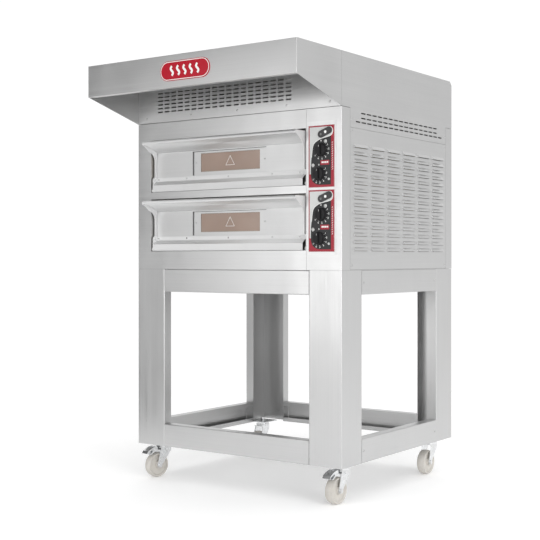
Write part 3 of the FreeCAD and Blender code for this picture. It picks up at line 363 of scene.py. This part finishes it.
MATERIALS = {
    "steel_x": brushed_steel("steel_grain_across", "X"),
    "steel_y": brushed_steel("steel_grain_deep", "Y"),
    "steel_z": brushed_steel("steel_grain_upright", "Z"),
    # The stand's inner faces are darkened as painted shade.
    "stand_x": brushed_steel("stand_grain_across", "X", inner_shade=0.86),
    "stand_y": brushed_steel("stand_grain_deep", "Y", inner_shade=0.86),
    "stand_z": brushed_steel("stand_grain_upright", "Z", inner_shade=0.86),
    # The walls of the door's window well are darkened as painted shade.
    "door": brushed_steel("door_steel", "X", tone=0.62, rough=0.44, inner_shade=0.35, shade_mask=within_well,
                          # The door's handle is brightened as painted light.
                          handle_light_mask=on_handle),
    "plate": brushed_steel("control_plate_steel", "Z", tone=0.66, rough=0.38),
    "liner": brushed_steel("chamber_steel", "X", tone=0.46, rough=0.42, smudge=0.25, soil=0.6),
    "pan": brushed_steel("galvanised_pan", "Y", tone=0.50, rough=0.46, smudge=0.15),
    "screw": brushed_steel("screw_steel", "Z", tone=0.58, rough=0.26),
    "zinc": zinc(),
    "nylon": nylon(),
    "knob": moulded("knob_black", (0.008, 0.008, 0.009), 0.5, Specular_IOR_Level=0.28),
    "switch": moulded("switch_black", (0.014, 0.014, 0.015), 0.34),
    "case": moulded("case_black", (0.02, 0.02, 0.021), 0.5),
    "red": print_ink("ink_red", (0.33, 0.012, 0.028)),
    "black": print_ink("ink_black", (0.012, 0.013, 0.014)),
    "white": print_ink("ink_white", (0.86, 0.86, 0.84)),
    "silver": print_ink("ink_silver", (0.60, 0.61, 0.60), 0.4),
    "badge_red": print_ink("badge_enamel", (0.42, 0.012, 0.026), 0.2),
    "glass": tinted_glass(),
    "stone": refractory(),
    "rod": rod_metal(),
    "wool": mineral_wool(),
    "lamp": lens("lamp_lens", (0.83, 0.84, 0.82)),
    "lit": lens("switch_lens", (0.95, 0.95, 0.93), 0.35),
    "rope": rope_seal(),
    # Painted shadow: the dark grey of the lines along the window wells' edges.
    "painted_shadow": moulded("painted_shadow_grey", (0.09, 0.09, 0.092), 0.6),
}


def paint(obj, key):
    """Give every material slot of an object one finish."""
    material = MATERIALS[key]
    if not obj.data.materials:
        obj.data.materials.append(material)
    for slot in obj.material_slots:
        slot.material = material


def soften(obj, width, segments=2, angle=30):
    """Break the sharp edges so that they catch the light."""
    bevel = obj.modifiers.new("broken_edges", "BEVEL")
    bevel.width = width
    bevel.segments = segments
    bevel.limit_method = "ANGLE"
    bevel.angle_limit = math.radians(angle)
    bevel.harden_normals = False
    bevel.use_clamp_overlap = True


NODE_LOOKS = {
    "stand_leg": ("stand_z", 0.5), "stand_beam_front": ("stand_x", 0.5), "stand_beam_rear": ("stand_x", 0.5),
    "stand_rail_front": ("stand_x", 0.5), "stand_rail_rear": ("stand_x", 0.5), "stand_beam": ("stand_y", 0.5),
    "stand_rail": ("stand_y", 0.5), "caster_mount": ("zinc", 0.4), "caster_fork": ("zinc", 0.5),
    "caster_wheel": ("nylon", 0.6), "brake_pedal": ("zinc", 0.4), "floor_pan": ("pan", 0.3),
    "front_panel": ("steel_x", 0.3), "side_panel": ("steel_y", 0.4), "back_panel": ("steel_z", 0.3),
    "cable_gland": ("case", 0.5), "chamber": ("liner", 0.3), "stone_floors": ("stone", 1.0),
    "heating_elements": ("rod", 0), "insulation": ("wool", 6.0), "control_plate": ("plate", 0.3),
    "control_overlays": ("red", 0.1), "indicator_lamps": ("lamp", 0.2), "thermostat": ("case", 0.8),
    "hood_fascia": ("steel_x", 0.3), "hood_side": ("steel_y", 0.3), "hood_top": ("steel_x", 0.3),
    "hood_grille": ("steel_x", 0.25), "flue_collar": ("pan", 0.3), "badge": ("badge_red", 0.8),
    "casing_screws": ("screw", 0.9), "knob": ("knob", 0.45), "switch": ("switch", 1.2),
    "door_lower_skin": ("door", 0.4), "door_upper_skin": ("door", 0.4),
    "door_lower_cheeks": ("door", 0.4), "door_upper_cheeks": ("door", 0.4),
    "door_lower_liner": ("liner", 0.4), "door_upper_liner": ("liner", 0.4),
    "door_lower_glass": ("glass", 0.4), "door_upper_glass": ("glass", 0.4),
}


def dress_nodes():
    """Give each carried-over part its finish, from the most exact name that fits it."""
    for name, obj in NODES.items():
        prefix = max((key for key in NODE_LOOKS if name.startswith(key)), key=len)
        finish, width = NODE_LOOKS[prefix]
        paint(obj, finish)
        if width:
            soften(obj, width * MM)


# ------------------------------------------------------------------ mesh helpers
def middle_of(name):
    """The middle of a node of the frame, in X and Z."""
    low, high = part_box(name)
    return ((low[0] + high[0]) / 2, (low[2] + high[2]) / 2)


def rectangle(left, low, right, high):
    """The four corners of a rectangle, from its lower left one."""
    return [(left, low), (right, low), (right, high), (left, high)]


def new_piece(name, bm, finish, body="root", smooth=False):
    """Turn a bmesh into an object that rides on a body."""
    bmesh.ops.recalc_face_normals(bm, faces=bm.faces)
    mesh = bpy.data.meshes.new(name)
    bm.to_mesh(mesh)
    bm.free()
    if smooth:
        for face in mesh.polygons:
            face.use_smooth = True
    obj = bpy.data.objects.new(name, mesh)
    bpy.context.scene.collection.objects.link(obj)
    obj.data.materials.append(MATERIALS[finish])
    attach(obj, body)
    return obj


def add_prism(bm, outline, y, depth):
    """Add a flat shape drawn in X and Z, extruded along Y."""
    front = [bm.verts.new((x, y, z)) for x, z in outline]
    back = [bm.verts.new((x, y + depth, z)) for x, z in outline]
    bm.faces.new(front)
    bm.faces.new(list(reversed(back)))
    count = len(outline)
    for i in range(count):
        j = (i + 1) % count
        bm.faces.new((front[j], front[i], back[i], back[j]))


def add_band(bm, line, width, y, depth, closed=False):
    """Add a stripe of constant width along a line drawn in X and Z."""
    points = [Vector(p) for p in line]
    count = len(points)
    left, right = [], []
    for i, point in enumerate(points):
        before = points[i - 1] if (i or closed) else point
        after = points[(i + 1) % count] if (i + 1 < count or closed) else point
        along = (after - before).normalized()
        across = Vector((-along.y, along.x)) * (width / 2)
        left.append(point + across)
        right.append(point - across)
    rings = []
    for a, b in zip(left, right):
        corners = ((a, y), (b, y), (b, y + depth), (a, y + depth))
        rings.append([bm.verts.new((p.x, at, p.y)) for p, at in corners])
    pairs = zip(rings, rings[1:] + rings[:1]) if closed else zip(rings, rings[1:])
    for one, two in pairs:
        for k in range(4):
            m = (k + 1) % 4
            bm.faces.new((one[k], two[k], two[m], one[m]))
    if not closed:
        bm.faces.new(rings[0])
        bm.faces.new(list(reversed(rings[-1])))


def smooth_line(points, steps):
    """A Catmull-Rom line through points."""
    padded = [points[0]] + list(points) + [points[-1]]
    line = []
    for four in zip(padded, padded[1:], padded[2:], padded[3:]):
        for k in range(steps):
            u = k / steps
            line.append(tuple(blend_four(*values, u) for values in zip(*four)))
    line.append(tuple(points[-1]))
    return line


def blend_four(before, start, end, after, u):
    """The Catmull-Rom value a fraction u of the way from start to end."""
    slope = end - before
    bend = 2 * before - 5 * start + 4 * end - after
    twist = 3 * start - before - 3 * end + after
    return 0.5 * (2 * start + slope * u + bend * u ** 2 + twist * u ** 3)


def arc_points(centre, radius, start, end, steps=16):
    """Points on an arc; angles in degrees from +X towards +Z."""
    points = []
    for k in range(steps + 1):
        angle = math.radians(start + (end - start) * k / steps)
        points.append((centre[0] + radius * math.cos(angle), centre[1] + radius * math.sin(angle)))
    return points


def capsule_outline(centre, length, height, tilt=0.0, steps=12):
    """A round-ended bar."""
    half = (length - height) / 2
    turn = math.radians(tilt)
    along = (math.cos(turn) * half, math.sin(turn) * half)
    right = arc_points((centre[0] + along[0], centre[1] + along[1]), height / 2, tilt - 90, tilt + 90, steps)
    left = arc_points((centre[0] - along[0], centre[1] - along[1]), height / 2, tilt + 90, tilt + 270, steps)
    return right + left


def add_screw(bm, centre, radius, height, outward):
    """Add a pan-head screw with a cross recess; outward is the direction that it faces."""
    rings = ((1.0, 0.0), (1.0, 0.35), (0.86, 0.78), (0.62, 1.0))
    count = 24
    outward = Vector(outward).normalized()
    across = outward.orthogonal().normalized()
    up = outward.cross(across)
    levels = []
    for size, lift in rings:
        levels.append([bm.verts.new(Vector(centre) + outward * height * lift + radius * size * (
            across * math.cos(2 * math.pi * k / count) + up * math.sin(2 * math.pi * k / count)))
            for k in range(count)])
    for low, high in zip(levels, levels[1:]):
        for k in range(count):
            m = (k + 1) % count
            bm.faces.new((low[k], low[m], high[m], high[k]))
    bm.faces.new(list(reversed(levels[0])))
    arm, slim = 0.42 * radius, 0.12 * radius
    cross = [(arm, -slim), (arm, slim), (slim, slim), (slim, arm), (-slim, arm), (-slim, slim), (-arm, slim),
             (-arm, -slim), (-slim, -slim), (-slim, -arm), (slim, -arm), (slim, -slim)]
    rim = [bm.verts.new(Vector(centre) + outward * height + across * a + up * b) for a, b in cross]
    pit = [bm.verts.new(Vector(centre) + outward * height * 0.3 + (across * a + up * b) * 0.7)
           for a, b in cross]
    top = levels[-1]
    loop_edges = [bm.edges.new((rim[k], rim[(k + 1) % 12])) for k in range(12)]
    ring_edges = [bm.edges.get((top[k], top[(k + 1) % count])) for k in range(count)]
    bmesh.ops.triangle_fill(bm, use_beauty=True, use_dissolve=False, edges=loop_edges + ring_edges)
    for k in range(12):
        m = (k + 1) % 12
        bm.faces.new((rim[k], rim[m], pit[m], pit[k]))
    bm.faces.new(pit)


# ------------------------------------------------------------------ controls
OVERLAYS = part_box("control_overlays")
OVERLAY_FACE = OVERLAYS[0][1]
OVERLAY_TALL = 0.225
OVERLAY_BOTTOM = {"lower": OVERLAYS[0][2], "upper": OVERLAYS[1][2] - OVERLAY_TALL}
INK = 0.00012

# The print, in millimetres from a panel's lower left corner. The sweep is the line between the
# silver and the black field, from its upper right end to its lower end.
SWEEP = [(99, 217), (104, 208), (104.5, 199), (100, 189), (87, 183.5), (68, 180), (50, 175.5), (35, 168.5),
         (24, 159.5), (18.5, 147), (15.5, 128), (13, 106), (11, 84), (10.4, 65), (10.4, 49), (12, 36),
         (17, 24), (26, 16), (36, 11)]
SWEEP_STEPS = 6
WHITE_LINE_END = (13, 106)
SILVER_LOW = 49
SILVER_CORNERS = [(5, SILVER_LOW), (5, 219.5), (96, 219.5)]
BLACK_LIMIT = (98, 187.5)
BLACK_CORNERS = [(50, 9), (97, 9), (97.5, 120), (97.5, 187)]
RIM = rectangle(0.9, 0.9, 111.1, 224.1)
TAG = rectangle(52, 81, 90, 98)
BAR_COUNT = 4
BAR_START = (57, 87.5)
BAR_SIZE = 6
BAR_PITCH = 7.6
DASH_COUNT = 13
DASH_FROM = (101.2, 62)
DASH_STEP = (4.2, 5)
DASH_PITCH = 8


def on_panel(deck, points):
    """Turn millimetres from a control panel's lower left corner into the frame."""
    return [(OVERLAYS[0][0] + x * MM, OVERLAY_BOTTOM[deck] + z * MM) for x, z in points]


def control_print(deck):
    """The printed fields of a deck's panel: silver above a black sweep, framed in red."""
    y = OVERLAY_FACE
    sweep = smooth_line(SWEEP, SWEEP_STEPS)

    silver = bmesh.new()
    silver_edge = [p for p in sweep if p[1] >= SILVER_LOW]
    add_prism(silver, on_panel(deck, silver_edge + SILVER_CORNERS), y - INK, INK)
    new_piece(f"print_silver_{deck}", silver, "silver")

    black = bmesh.new()
    black_edge = [p for p in sweep if p[0] <= BLACK_LIMIT[0] and p[1] <= BLACK_LIMIT[1]]
    add_prism(black, on_panel(deck, black_edge + BLACK_CORNERS), y - 2 * INK, 2 * INK)
    new_piece(f"print_black_{deck}", black, "black")

    lines = bmesh.new()
    white_line = sweep[:SWEEP_STEPS * SWEEP.index(WHITE_LINE_END)]
    add_band(lines, on_panel(deck, white_line), 2.2 * MM, y - 3 * INK, 3 * INK)
    for k in range(DASH_COUNT):
        foot = (DASH_FROM[0], DASH_FROM[1] + k * DASH_PITCH)
        tip = (foot[0] + DASH_STEP[0], foot[1] + DASH_STEP[1])
        add_band(lines, on_panel(deck, [foot, tip]), 1.6 * MM, y - 1.5 * INK, 1.5 * INK)
    new_piece(f"print_lines_{deck}", lines, "white")

    edge = bmesh.new()
    add_band(edge, on_panel(deck, RIM), 1.1 * MM, y - 0.5 * INK, 0.5 * INK, closed=True)
    new_piece(f"print_edge_{deck}", edge, "silver")

    tag = bmesh.new()
    add_prism(tag, on_panel(deck, TAG), y - 3 * INK, INK)
    new_piece(f"print_tag_{deck}", tag, "red")

    bars = bmesh.new()
    for k in range(BAR_COUNT):
        x, z = BAR_START[0] + k * BAR_PITCH, BAR_START[1]
        add_prism(bars, on_panel(deck, rectangle(x, z, x + BAR_SIZE, z + BAR_SIZE)), y - 3.6 * INK, INK)
    new_piece(f"print_tag_bars_{deck}", bars, "white")


# The dial round a knob: 0 at the top, then seven numbers clockwise, at angles in degrees.
DIAL_OFF = 91
DIAL_FIRST = 33
DIAL_STEP = 29
DIAL_NUMBERS = 7
TICK_REACH = (0.0254, 0.0284)
TICK_WIDTH = 0.0011
NUMBER_REACH = 0.0330
NUMBER_SIZE = 0.0085
NUMBER_BOLD = 0.00018


def dial_print(deck, role):
    """The off mark at the top of a knob and seven numbered marks clockwise from it."""
    x, z = middle_of(f"knob_{deck}_{role}")
    y = OVERLAY_FACE - 2 * INK
    angles = [DIAL_FIRST - DIAL_STEP * k for k in range(DIAL_NUMBERS)]
    marks = bmesh.new()
    for degrees in angles:
        angle = math.radians(degrees)
        tick = [(x + math.cos(angle) * reach, z + math.sin(angle) * reach) for reach in TICK_REACH]
        add_band(marks, tick, TICK_WIDTH, y - INK, INK)
    new_piece(f"dial_ticks_{deck}_{role}", marks, "white")
    for number, degrees in enumerate([DIAL_OFF] + angles):
        angle = math.radians(degrees)
        text = bpy.data.curves.new(f"dial_number_{deck}_{role}_{number}", "FONT")
        text.body = str(number)
        text.size = NUMBER_SIZE
        text.offset = NUMBER_BOLD
        text.extrude = INK / 2
        text.align_x = "CENTER"
        text.align_y = "CENTER"
        label = bpy.data.objects.new(text.name, text)
        label.rotation_euler = (math.pi / 2, 0, 0)
        label.location = (x + math.cos(angle) * NUMBER_REACH, y - INK, z + math.sin(angle) * NUMBER_REACH)
        bpy.context.scene.collection.objects.link(label)
        text.materials.append(MATERIALS["white"])
        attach(label, "root")


POINTER_RISE = 0.0135
POINTER_LENGTH = 0.0075
POINTER_WIDTH = 0.0014


def knob_pointer(deck, role):
    """A short line let into the tip of the knob's grip bar."""
    knob = f"knob_{deck}_{role}"
    x, z = middle_of(knob)
    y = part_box(knob)[0][1]
    line = bmesh.new()
    outline = capsule_outline((x, z + POINTER_RISE), POINTER_LENGTH, POINTER_WIDTH, 90)
    add_prism(line, outline, y - 0.1 * MM, 0.2 * MM)
    new_piece(f"knob_line_{deck}_{role}", line, "silver", f"knob_{deck}_{role}")


SWITCH_TILT = 21
LENS_RADIUS = 0.0052
LENS_FLATTENED = 0.22
LENS_OFFSET = Vector((0.003, -0.0006, 0.0012))
MARK_REACH = 0.0185
MARK_RADIUS = 0.0028
MARK_LINE = 0.0007


def switch_dot(deck):
    """The lit lens and the round off mark on the main switch."""
    x, z = middle_of(f"switch_{deck}")
    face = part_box(f"switch_{deck}")[0][1]
    dome = bmesh.new()
    at_lens = Matrix.Translation(Vector((x, face, z)) + LENS_OFFSET)
    bmesh.ops.create_uvsphere(dome, u_segments=32, v_segments=16, radius=LENS_RADIUS,
                              matrix=at_lens @ Matrix.Diagonal((1, LENS_FLATTENED, 1, 1)))
    new_piece(f"switch_lens_{deck}", dome, "lit", f"switch_{deck}", smooth=True)
    marks = bmesh.new()
    turn = math.radians(SWITCH_TILT)
    left = (x - math.cos(turn) * MARK_REACH, z - math.sin(turn) * MARK_REACH)
    ring = arc_points(left, MARK_RADIUS, 0, 360, 20)[:-1]
    add_band(marks, ring, MARK_LINE, face - INK, INK, closed=True)
    new_piece(f"switch_marks_{deck}", marks, "silver", f"switch_{deck}")


def controls():
    """Everything that is printed or let into the two control panels."""
    for deck in DECKS:
        control_print(deck)
        switch_dot(deck)
        for role in ("ceiling", "hearth"):
            dial_print(deck, role)
            knob_pointer(deck, role)


# ------------------------------------------------------------------ doors
FORWARD = (0, -1, 0)
# Screws are (radius, height). The strip's face lies in front of the door's rear edge, and its
# screws rise from the door's lower edge. Insets are from the left edge, inwards, and from the right.
STRIP_SCREW = (0.0036, 0.0018)
STRIP_DEPTH = 0.016
STRIP_SCREW_RISE = 0.0515
STRIP_SCREW_INSETS = (0.012, 0.16, 0.035)
PANE_SCREW = (0.0034, 0.0016)
PANE_SCREW_REACH = 0.168
# Depths are in front of the pane: the well's floor, then the seal, the triangle and the painted shadow line.
WELL_FLOOR = 0.0021
SEAL_INSET = 0.012
SEAL_WIDTH = 0.003
SEAL_FRONT = 0.0012
SEAL_DEPTH = 0.0011
TRIANGLE_REACH = 0.024
TRIANGLE_DROP = 0.003
TRIANGLE_LINE = 0.0026
TRIANGLE_FRONT = 0.0003
TRIANGLE_DEPTH = 0.00025
# The painted shadow line round the window well: a dark line where shade falls at the well's edges.
SHADOW_LINE_HALF_WIDTH = 0.1806
SHADOW_LINE_RISES = (0.0624, 0.1566)
SHADOW_LINE_WIDTH = 0.0022
SHADOW_LINE_PROUD = 0.0004
SHADOW_LINE_DEPTH = 0.0006


def door_screws(deck):
    """Five screws along the strip below the window, and one on each side of the pane."""
    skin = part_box(f"door_{deck}_skin")
    pane_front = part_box(f"door_{deck}_glass")[0][1]
    middle_x, middle_z = middle_of(f"door_{deck}_glass")
    left, right = skin[0][0], skin[1][0]
    left_inset, inner_inset, right_inset = STRIP_SCREW_INSETS
    screws = bmesh.new()
    for x in (left + left_inset, left + inner_inset, (left + right) / 2, right - inner_inset,
              right - right_inset):
        place = (x, skin[1][1] - STRIP_DEPTH, skin[0][2] + STRIP_SCREW_RISE)
        add_screw(screws, place, *STRIP_SCREW, FORWARD)
    for side in (-1, 1):
        place = (middle_x + side * PANE_SCREW_REACH, pane_front - WELL_FLOOR, middle_z)
        add_screw(screws, place, *PANE_SCREW, FORWARD)
    new_piece(f"door_screws_{deck}", screws, "screw", f"door_{deck}")


def pane_seal(deck):
    """A rope seal in front of the pane, all round inside the pane's edge."""
    low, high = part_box(f"door_{deck}_glass")
    edge = rectangle(low[0] + SEAL_INSET, low[2] + SEAL_INSET, high[0] - SEAL_INSET, high[2] - SEAL_INSET)
    seal = bmesh.new()
    add_band(seal, edge, SEAL_WIDTH, low[1] - SEAL_FRONT, SEAL_DEPTH, closed=True)
    new_piece(f"pane_seal_{deck}", seal, "rope", f"door_{deck}")


def pane_mark(deck):
    """A plain triangle printed on the pane."""
    x, z = middle_of(f"door_{deck}_glass")
    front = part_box(f"door_{deck}_glass")[0][1] - TRIANGLE_FRONT
    corners = arc_points((x, z - TRIANGLE_DROP), TRIANGLE_REACH, 90, 330, 2)
    mark = bmesh.new()
    add_band(mark, corners, TRIANGLE_LINE, front, TRIANGLE_DEPTH, closed=True)
    new_piece(f"pane_mark_{deck}", mark, "white", f"door_{deck}")


def well_bead(deck):
    """A dark line along the sides and the top of the window well: painted shadow at the well's edges."""
    x = middle_of(f"door_{deck}_glass")[0]
    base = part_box(f"door_{deck}_skin")[0][2]
    low, high = base + SHADOW_LINE_RISES[0], base + SHADOW_LINE_RISES[1]
    line = [(x - SHADOW_LINE_HALF_WIDTH, low), (x - SHADOW_LINE_HALF_WIDTH, high), (x + SHADOW_LINE_HALF_WIDTH, high),
            (x + SHADOW_LINE_HALF_WIDTH, low)]
    shadow_strip = bmesh.new()
    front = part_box(f"door_{deck}_glass")[0][1] - WELL_FLOOR - SHADOW_LINE_PROUD
    add_band(shadow_strip, line, SHADOW_LINE_WIDTH, front, SHADOW_LINE_DEPTH)
    new_piece(f"well_bead_{deck}", shadow_strip, "painted_shadow", f"door_{deck}")


def doors():
    """The small pieces on the two doors."""
    for deck in DECKS:
        door_screws(deck)
        pane_seal(deck)
        pane_mark(deck)
        well_bead(deck)


# ------------------------------------------------------------------ badge
BADGE_PRINT_PROUD = 0.0005
BADGE_PRINT_DEPTH = 0.0006
STRIPE_INSET = 0.007
STRIPE_WIDTH = 0.0024
WAVE_COUNT = 5
WAVE_STEPS = 24
WAVE_PITCH = 0.030
WAVE_SWING = 0.0055
WAVE_TALL = 0.034
WAVE_WIDTH = 0.0085


def badge_face():
    """A pinstripe and a plain steam motif on the badge; no lettering."""
    low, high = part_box("badge")
    x, z = middle_of("badge")
    front = low[1] - BADGE_PRINT_PROUD
    outline = capsule_outline((x, z), high[0] - low[0] - STRIPE_INSET, high[2] - low[2] - STRIPE_INSET,
                              steps=24)
    stripe = bmesh.new()
    add_band(stripe, outline[:-1], STRIPE_WIDTH, front, BADGE_PRINT_DEPTH, closed=True)
    for k in range(WAVE_COUNT):
        middle = x + (k - WAVE_COUNT // 2) * WAVE_PITCH
        wave = []
        for i in range(WAVE_STEPS + 1):
            up = i / WAVE_STEPS
            wave.append((middle + WAVE_SWING * math.sin(2 * math.pi * up), z + (up - 0.5) * WAVE_TALL))
        add_band(stripe, wave, WAVE_WIDTH, front, BADGE_PRINT_DEPTH)
    new_piece("badge_stripe", stripe, "white")


# ------------------------------------------------------------------ fasteners
CASING_SCREW = (0.0043, 0.0021)


def islands(bm):
    """The separate pieces of a mesh, each as a list of its points."""
    seen = set()
    found = []
    for vert in bm.verts:
        if vert in seen:
            continue
        island, queue = [], [vert]
        seen.add(vert)
        while queue:
            current = queue.pop()
            island.append(current.co.copy())
            for edge in current.link_edges:
                other = edge.other_vert(current)
                if other not in seen:
                    seen.add(other)
                    queue.append(other)
        found.append(island)
    return found


def head_places(node):
    """The seat and outward direction of each head in the screws' node."""
    bm = bmesh.new()
    bm.from_mesh(node.data)
    bmesh.ops.remove_doubles(bm, verts=bm.verts, dist=1e-6)
    places = []
    for island in islands(bm):
        low = Vector([min(c[i] for c in island) for i in range(3)])
        high = Vector([max(c[i] for c in island) for i in range(3)])
        middle = (low + high) / 2
        if high.x - low.x < high.y - low.y:
            sign = 1 if middle.x > 0 else -1
            face = low.x if sign > 0 else high.x
            places.append(((face, middle.y, middle.z), (sign, 0, 0)))
        else:
            places.append(((middle.x, high.y, middle.z), FORWARD))
    bm.free()
    return places


def casing_screws():
    """Cross-head screws in place of the plain heads of the frame."""
    screws = bmesh.new()
    for centre, outward in head_places(NODES["casing_screws"]):
        add_screw(screws, centre, *CASING_SCREW, outward)
    piece = new_piece("casing_screw_heads", screws, "screw")
    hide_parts("casing_screws")


# ------------------------------------------------------------------ studio
# Parts of the room: the direction of the middle, where the change starts and ends as the
# cosine of the angle from that middle, and how much brighter or dimmer the middle is.
ROOM_LEVEL = 1.04
ROOM_ZONES = (
    ((-0.80, -0.60, 0.14), 0.50, 0.96, -0.96),
    ((-0.36, -0.93, 0.0), 0.93, 0.995, 1.2),
    ((0.53, 0.83, 0.26), 0.93, 0.995, -0.34),
)
# Lamps: name, place, the point that it faces, width, power.
LAMPS = (
    ("soft_lamp", (3.4, -3.2, 3.4), (0, 0, 0.8), 2.2, 22.0),
    ("side_lamp", (3.4, -1.7, 1.1), (0.4, 0.1, 1.0), 1.1, 26.0),
    ("front_lamp", (-0.85, -2.9, 1.15), (0.3, -0.3, 1.0), 1.6, 11.5),
)
FLOOR_MIDDLE = (0.3, 0.7, -0.0005)
FLOOR_RADIUS = 2.6
FLOOR_GLOW = 0.16
CAMERA_PLACE = (2.5726, -3.6433, 0.8982)
CAMERA_TURN = 35.61
CAMERA_LENS = 73.2
CAMERA_SHIFT = -0.0216


def zone_level(tree, direction, zone):
    """How much a part of the room adds to the light that comes from a direction."""
    middle, start, end, change = zone
    toward = tree.nodes.new("ShaderNodeVectorMath")
    toward.operation = "DOT_PRODUCT"
    toward.inputs[1].default_value = Vector(middle).normalized()
    tree.links.new(direction, toward.inputs[0])
    level = tree.nodes.new("ShaderNodeMapRange")
    level.interpolation_type = "SMOOTHSTEP"
    level.inputs["From Min"].default_value = start
    level.inputs["From Max"].default_value = end
    level.inputs["To Min"].default_value = 0.0
    level.inputs["To Max"].default_value = change
    tree.links.new(toward.outputs["Value"], level.inputs["Value"])
    return level.outputs["Result"]


def room():
    """A white room, dim in front on the left and behind on the right, bright in front."""
    world = bpy.data.worlds.new("studio")
    world.use_nodes = True
    tree = world.node_tree
    background = tree.nodes["Background"]
    background.inputs["Color"].default_value = (1.0, 1.0, 1.0, 1.0)
    direction = tree.nodes.new("ShaderNodeTexCoord").outputs["Generated"]
    total = None
    for zone in ROOM_ZONES:
        add = tree.nodes.new("ShaderNodeMath")
        add.inputs[1].default_value = ROOM_LEVEL
        tree.links.new(zone_level(tree, direction, zone), add.inputs[0])
        if total:
            tree.links.new(total, add.inputs[1])
        total = add.outputs[0]
    tree.links.new(total, background.inputs["Strength"])
    bpy.context.scene.world = world


def studio_floor():
    """A pale floor, faintly clouded."""
    bpy.ops.mesh.primitive_circle_add(vertices=128, radius=FLOOR_RADIUS, fill_type="NGON",
                                      location=FLOOR_MIDDLE)
    floor = bpy.context.object
    floor.name = "studio_floor"
    look = Shader("floor_paint")
    look.surface.inputs["Emission Color"].default_value = (1.0, 1.0, 1.0, 1.0)
    look.surface.inputs["Emission Strength"].default_value = FLOOR_GLOW
    cloud = look.noise(1.4, detail=2.0)
    look.colour(look.ramp(cloud, [(0.3, (0.95, 0.95, 0.95)), (0.7, (0.97, 0.97, 0.97))]))
    look.rough(look.spread(cloud, 0.75, 0.85))
    floor.data.materials.append(look.material)


def lamps():
    """Three soft lamps: high on the right, beside the machine and in front of it."""
    for name, place, target, width, energy in LAMPS:
        lamp = bpy.data.lights.new(name, "AREA")
        lamp.size = width
        lamp.energy = energy
        obj = bpy.data.objects.new(name, lamp)
        obj.location = place
        obj.rotation_euler = (Vector(target) - Vector(place)).to_track_quat("-Z", "Y").to_euler()
        bpy.context.scene.collection.objects.link(obj)


def camera():
    """The camera: level, at three-quarter view from the right."""
    data = bpy.data.cameras.new("camera")
    data.sensor_width = 36.0
    data.lens = CAMERA_LENS
    data.shift_y = CAMERA_SHIFT
    obj = bpy.data.objects.new("camera", data)
    obj.location = CAMERA_PLACE
    obj.rotation_euler = (math.radians(90), 0, math.radians(CAMERA_TURN))
    bpy.context.scene.collection.objects.link(obj)
    bpy.context.scene.camera = obj


dress_nodes()
controls()
doors()
badge_face()
casing_screws()
room()
bpy.context.scene.view_settings.view_transform = "Standard"
studio_floor()
lamps()
camera()
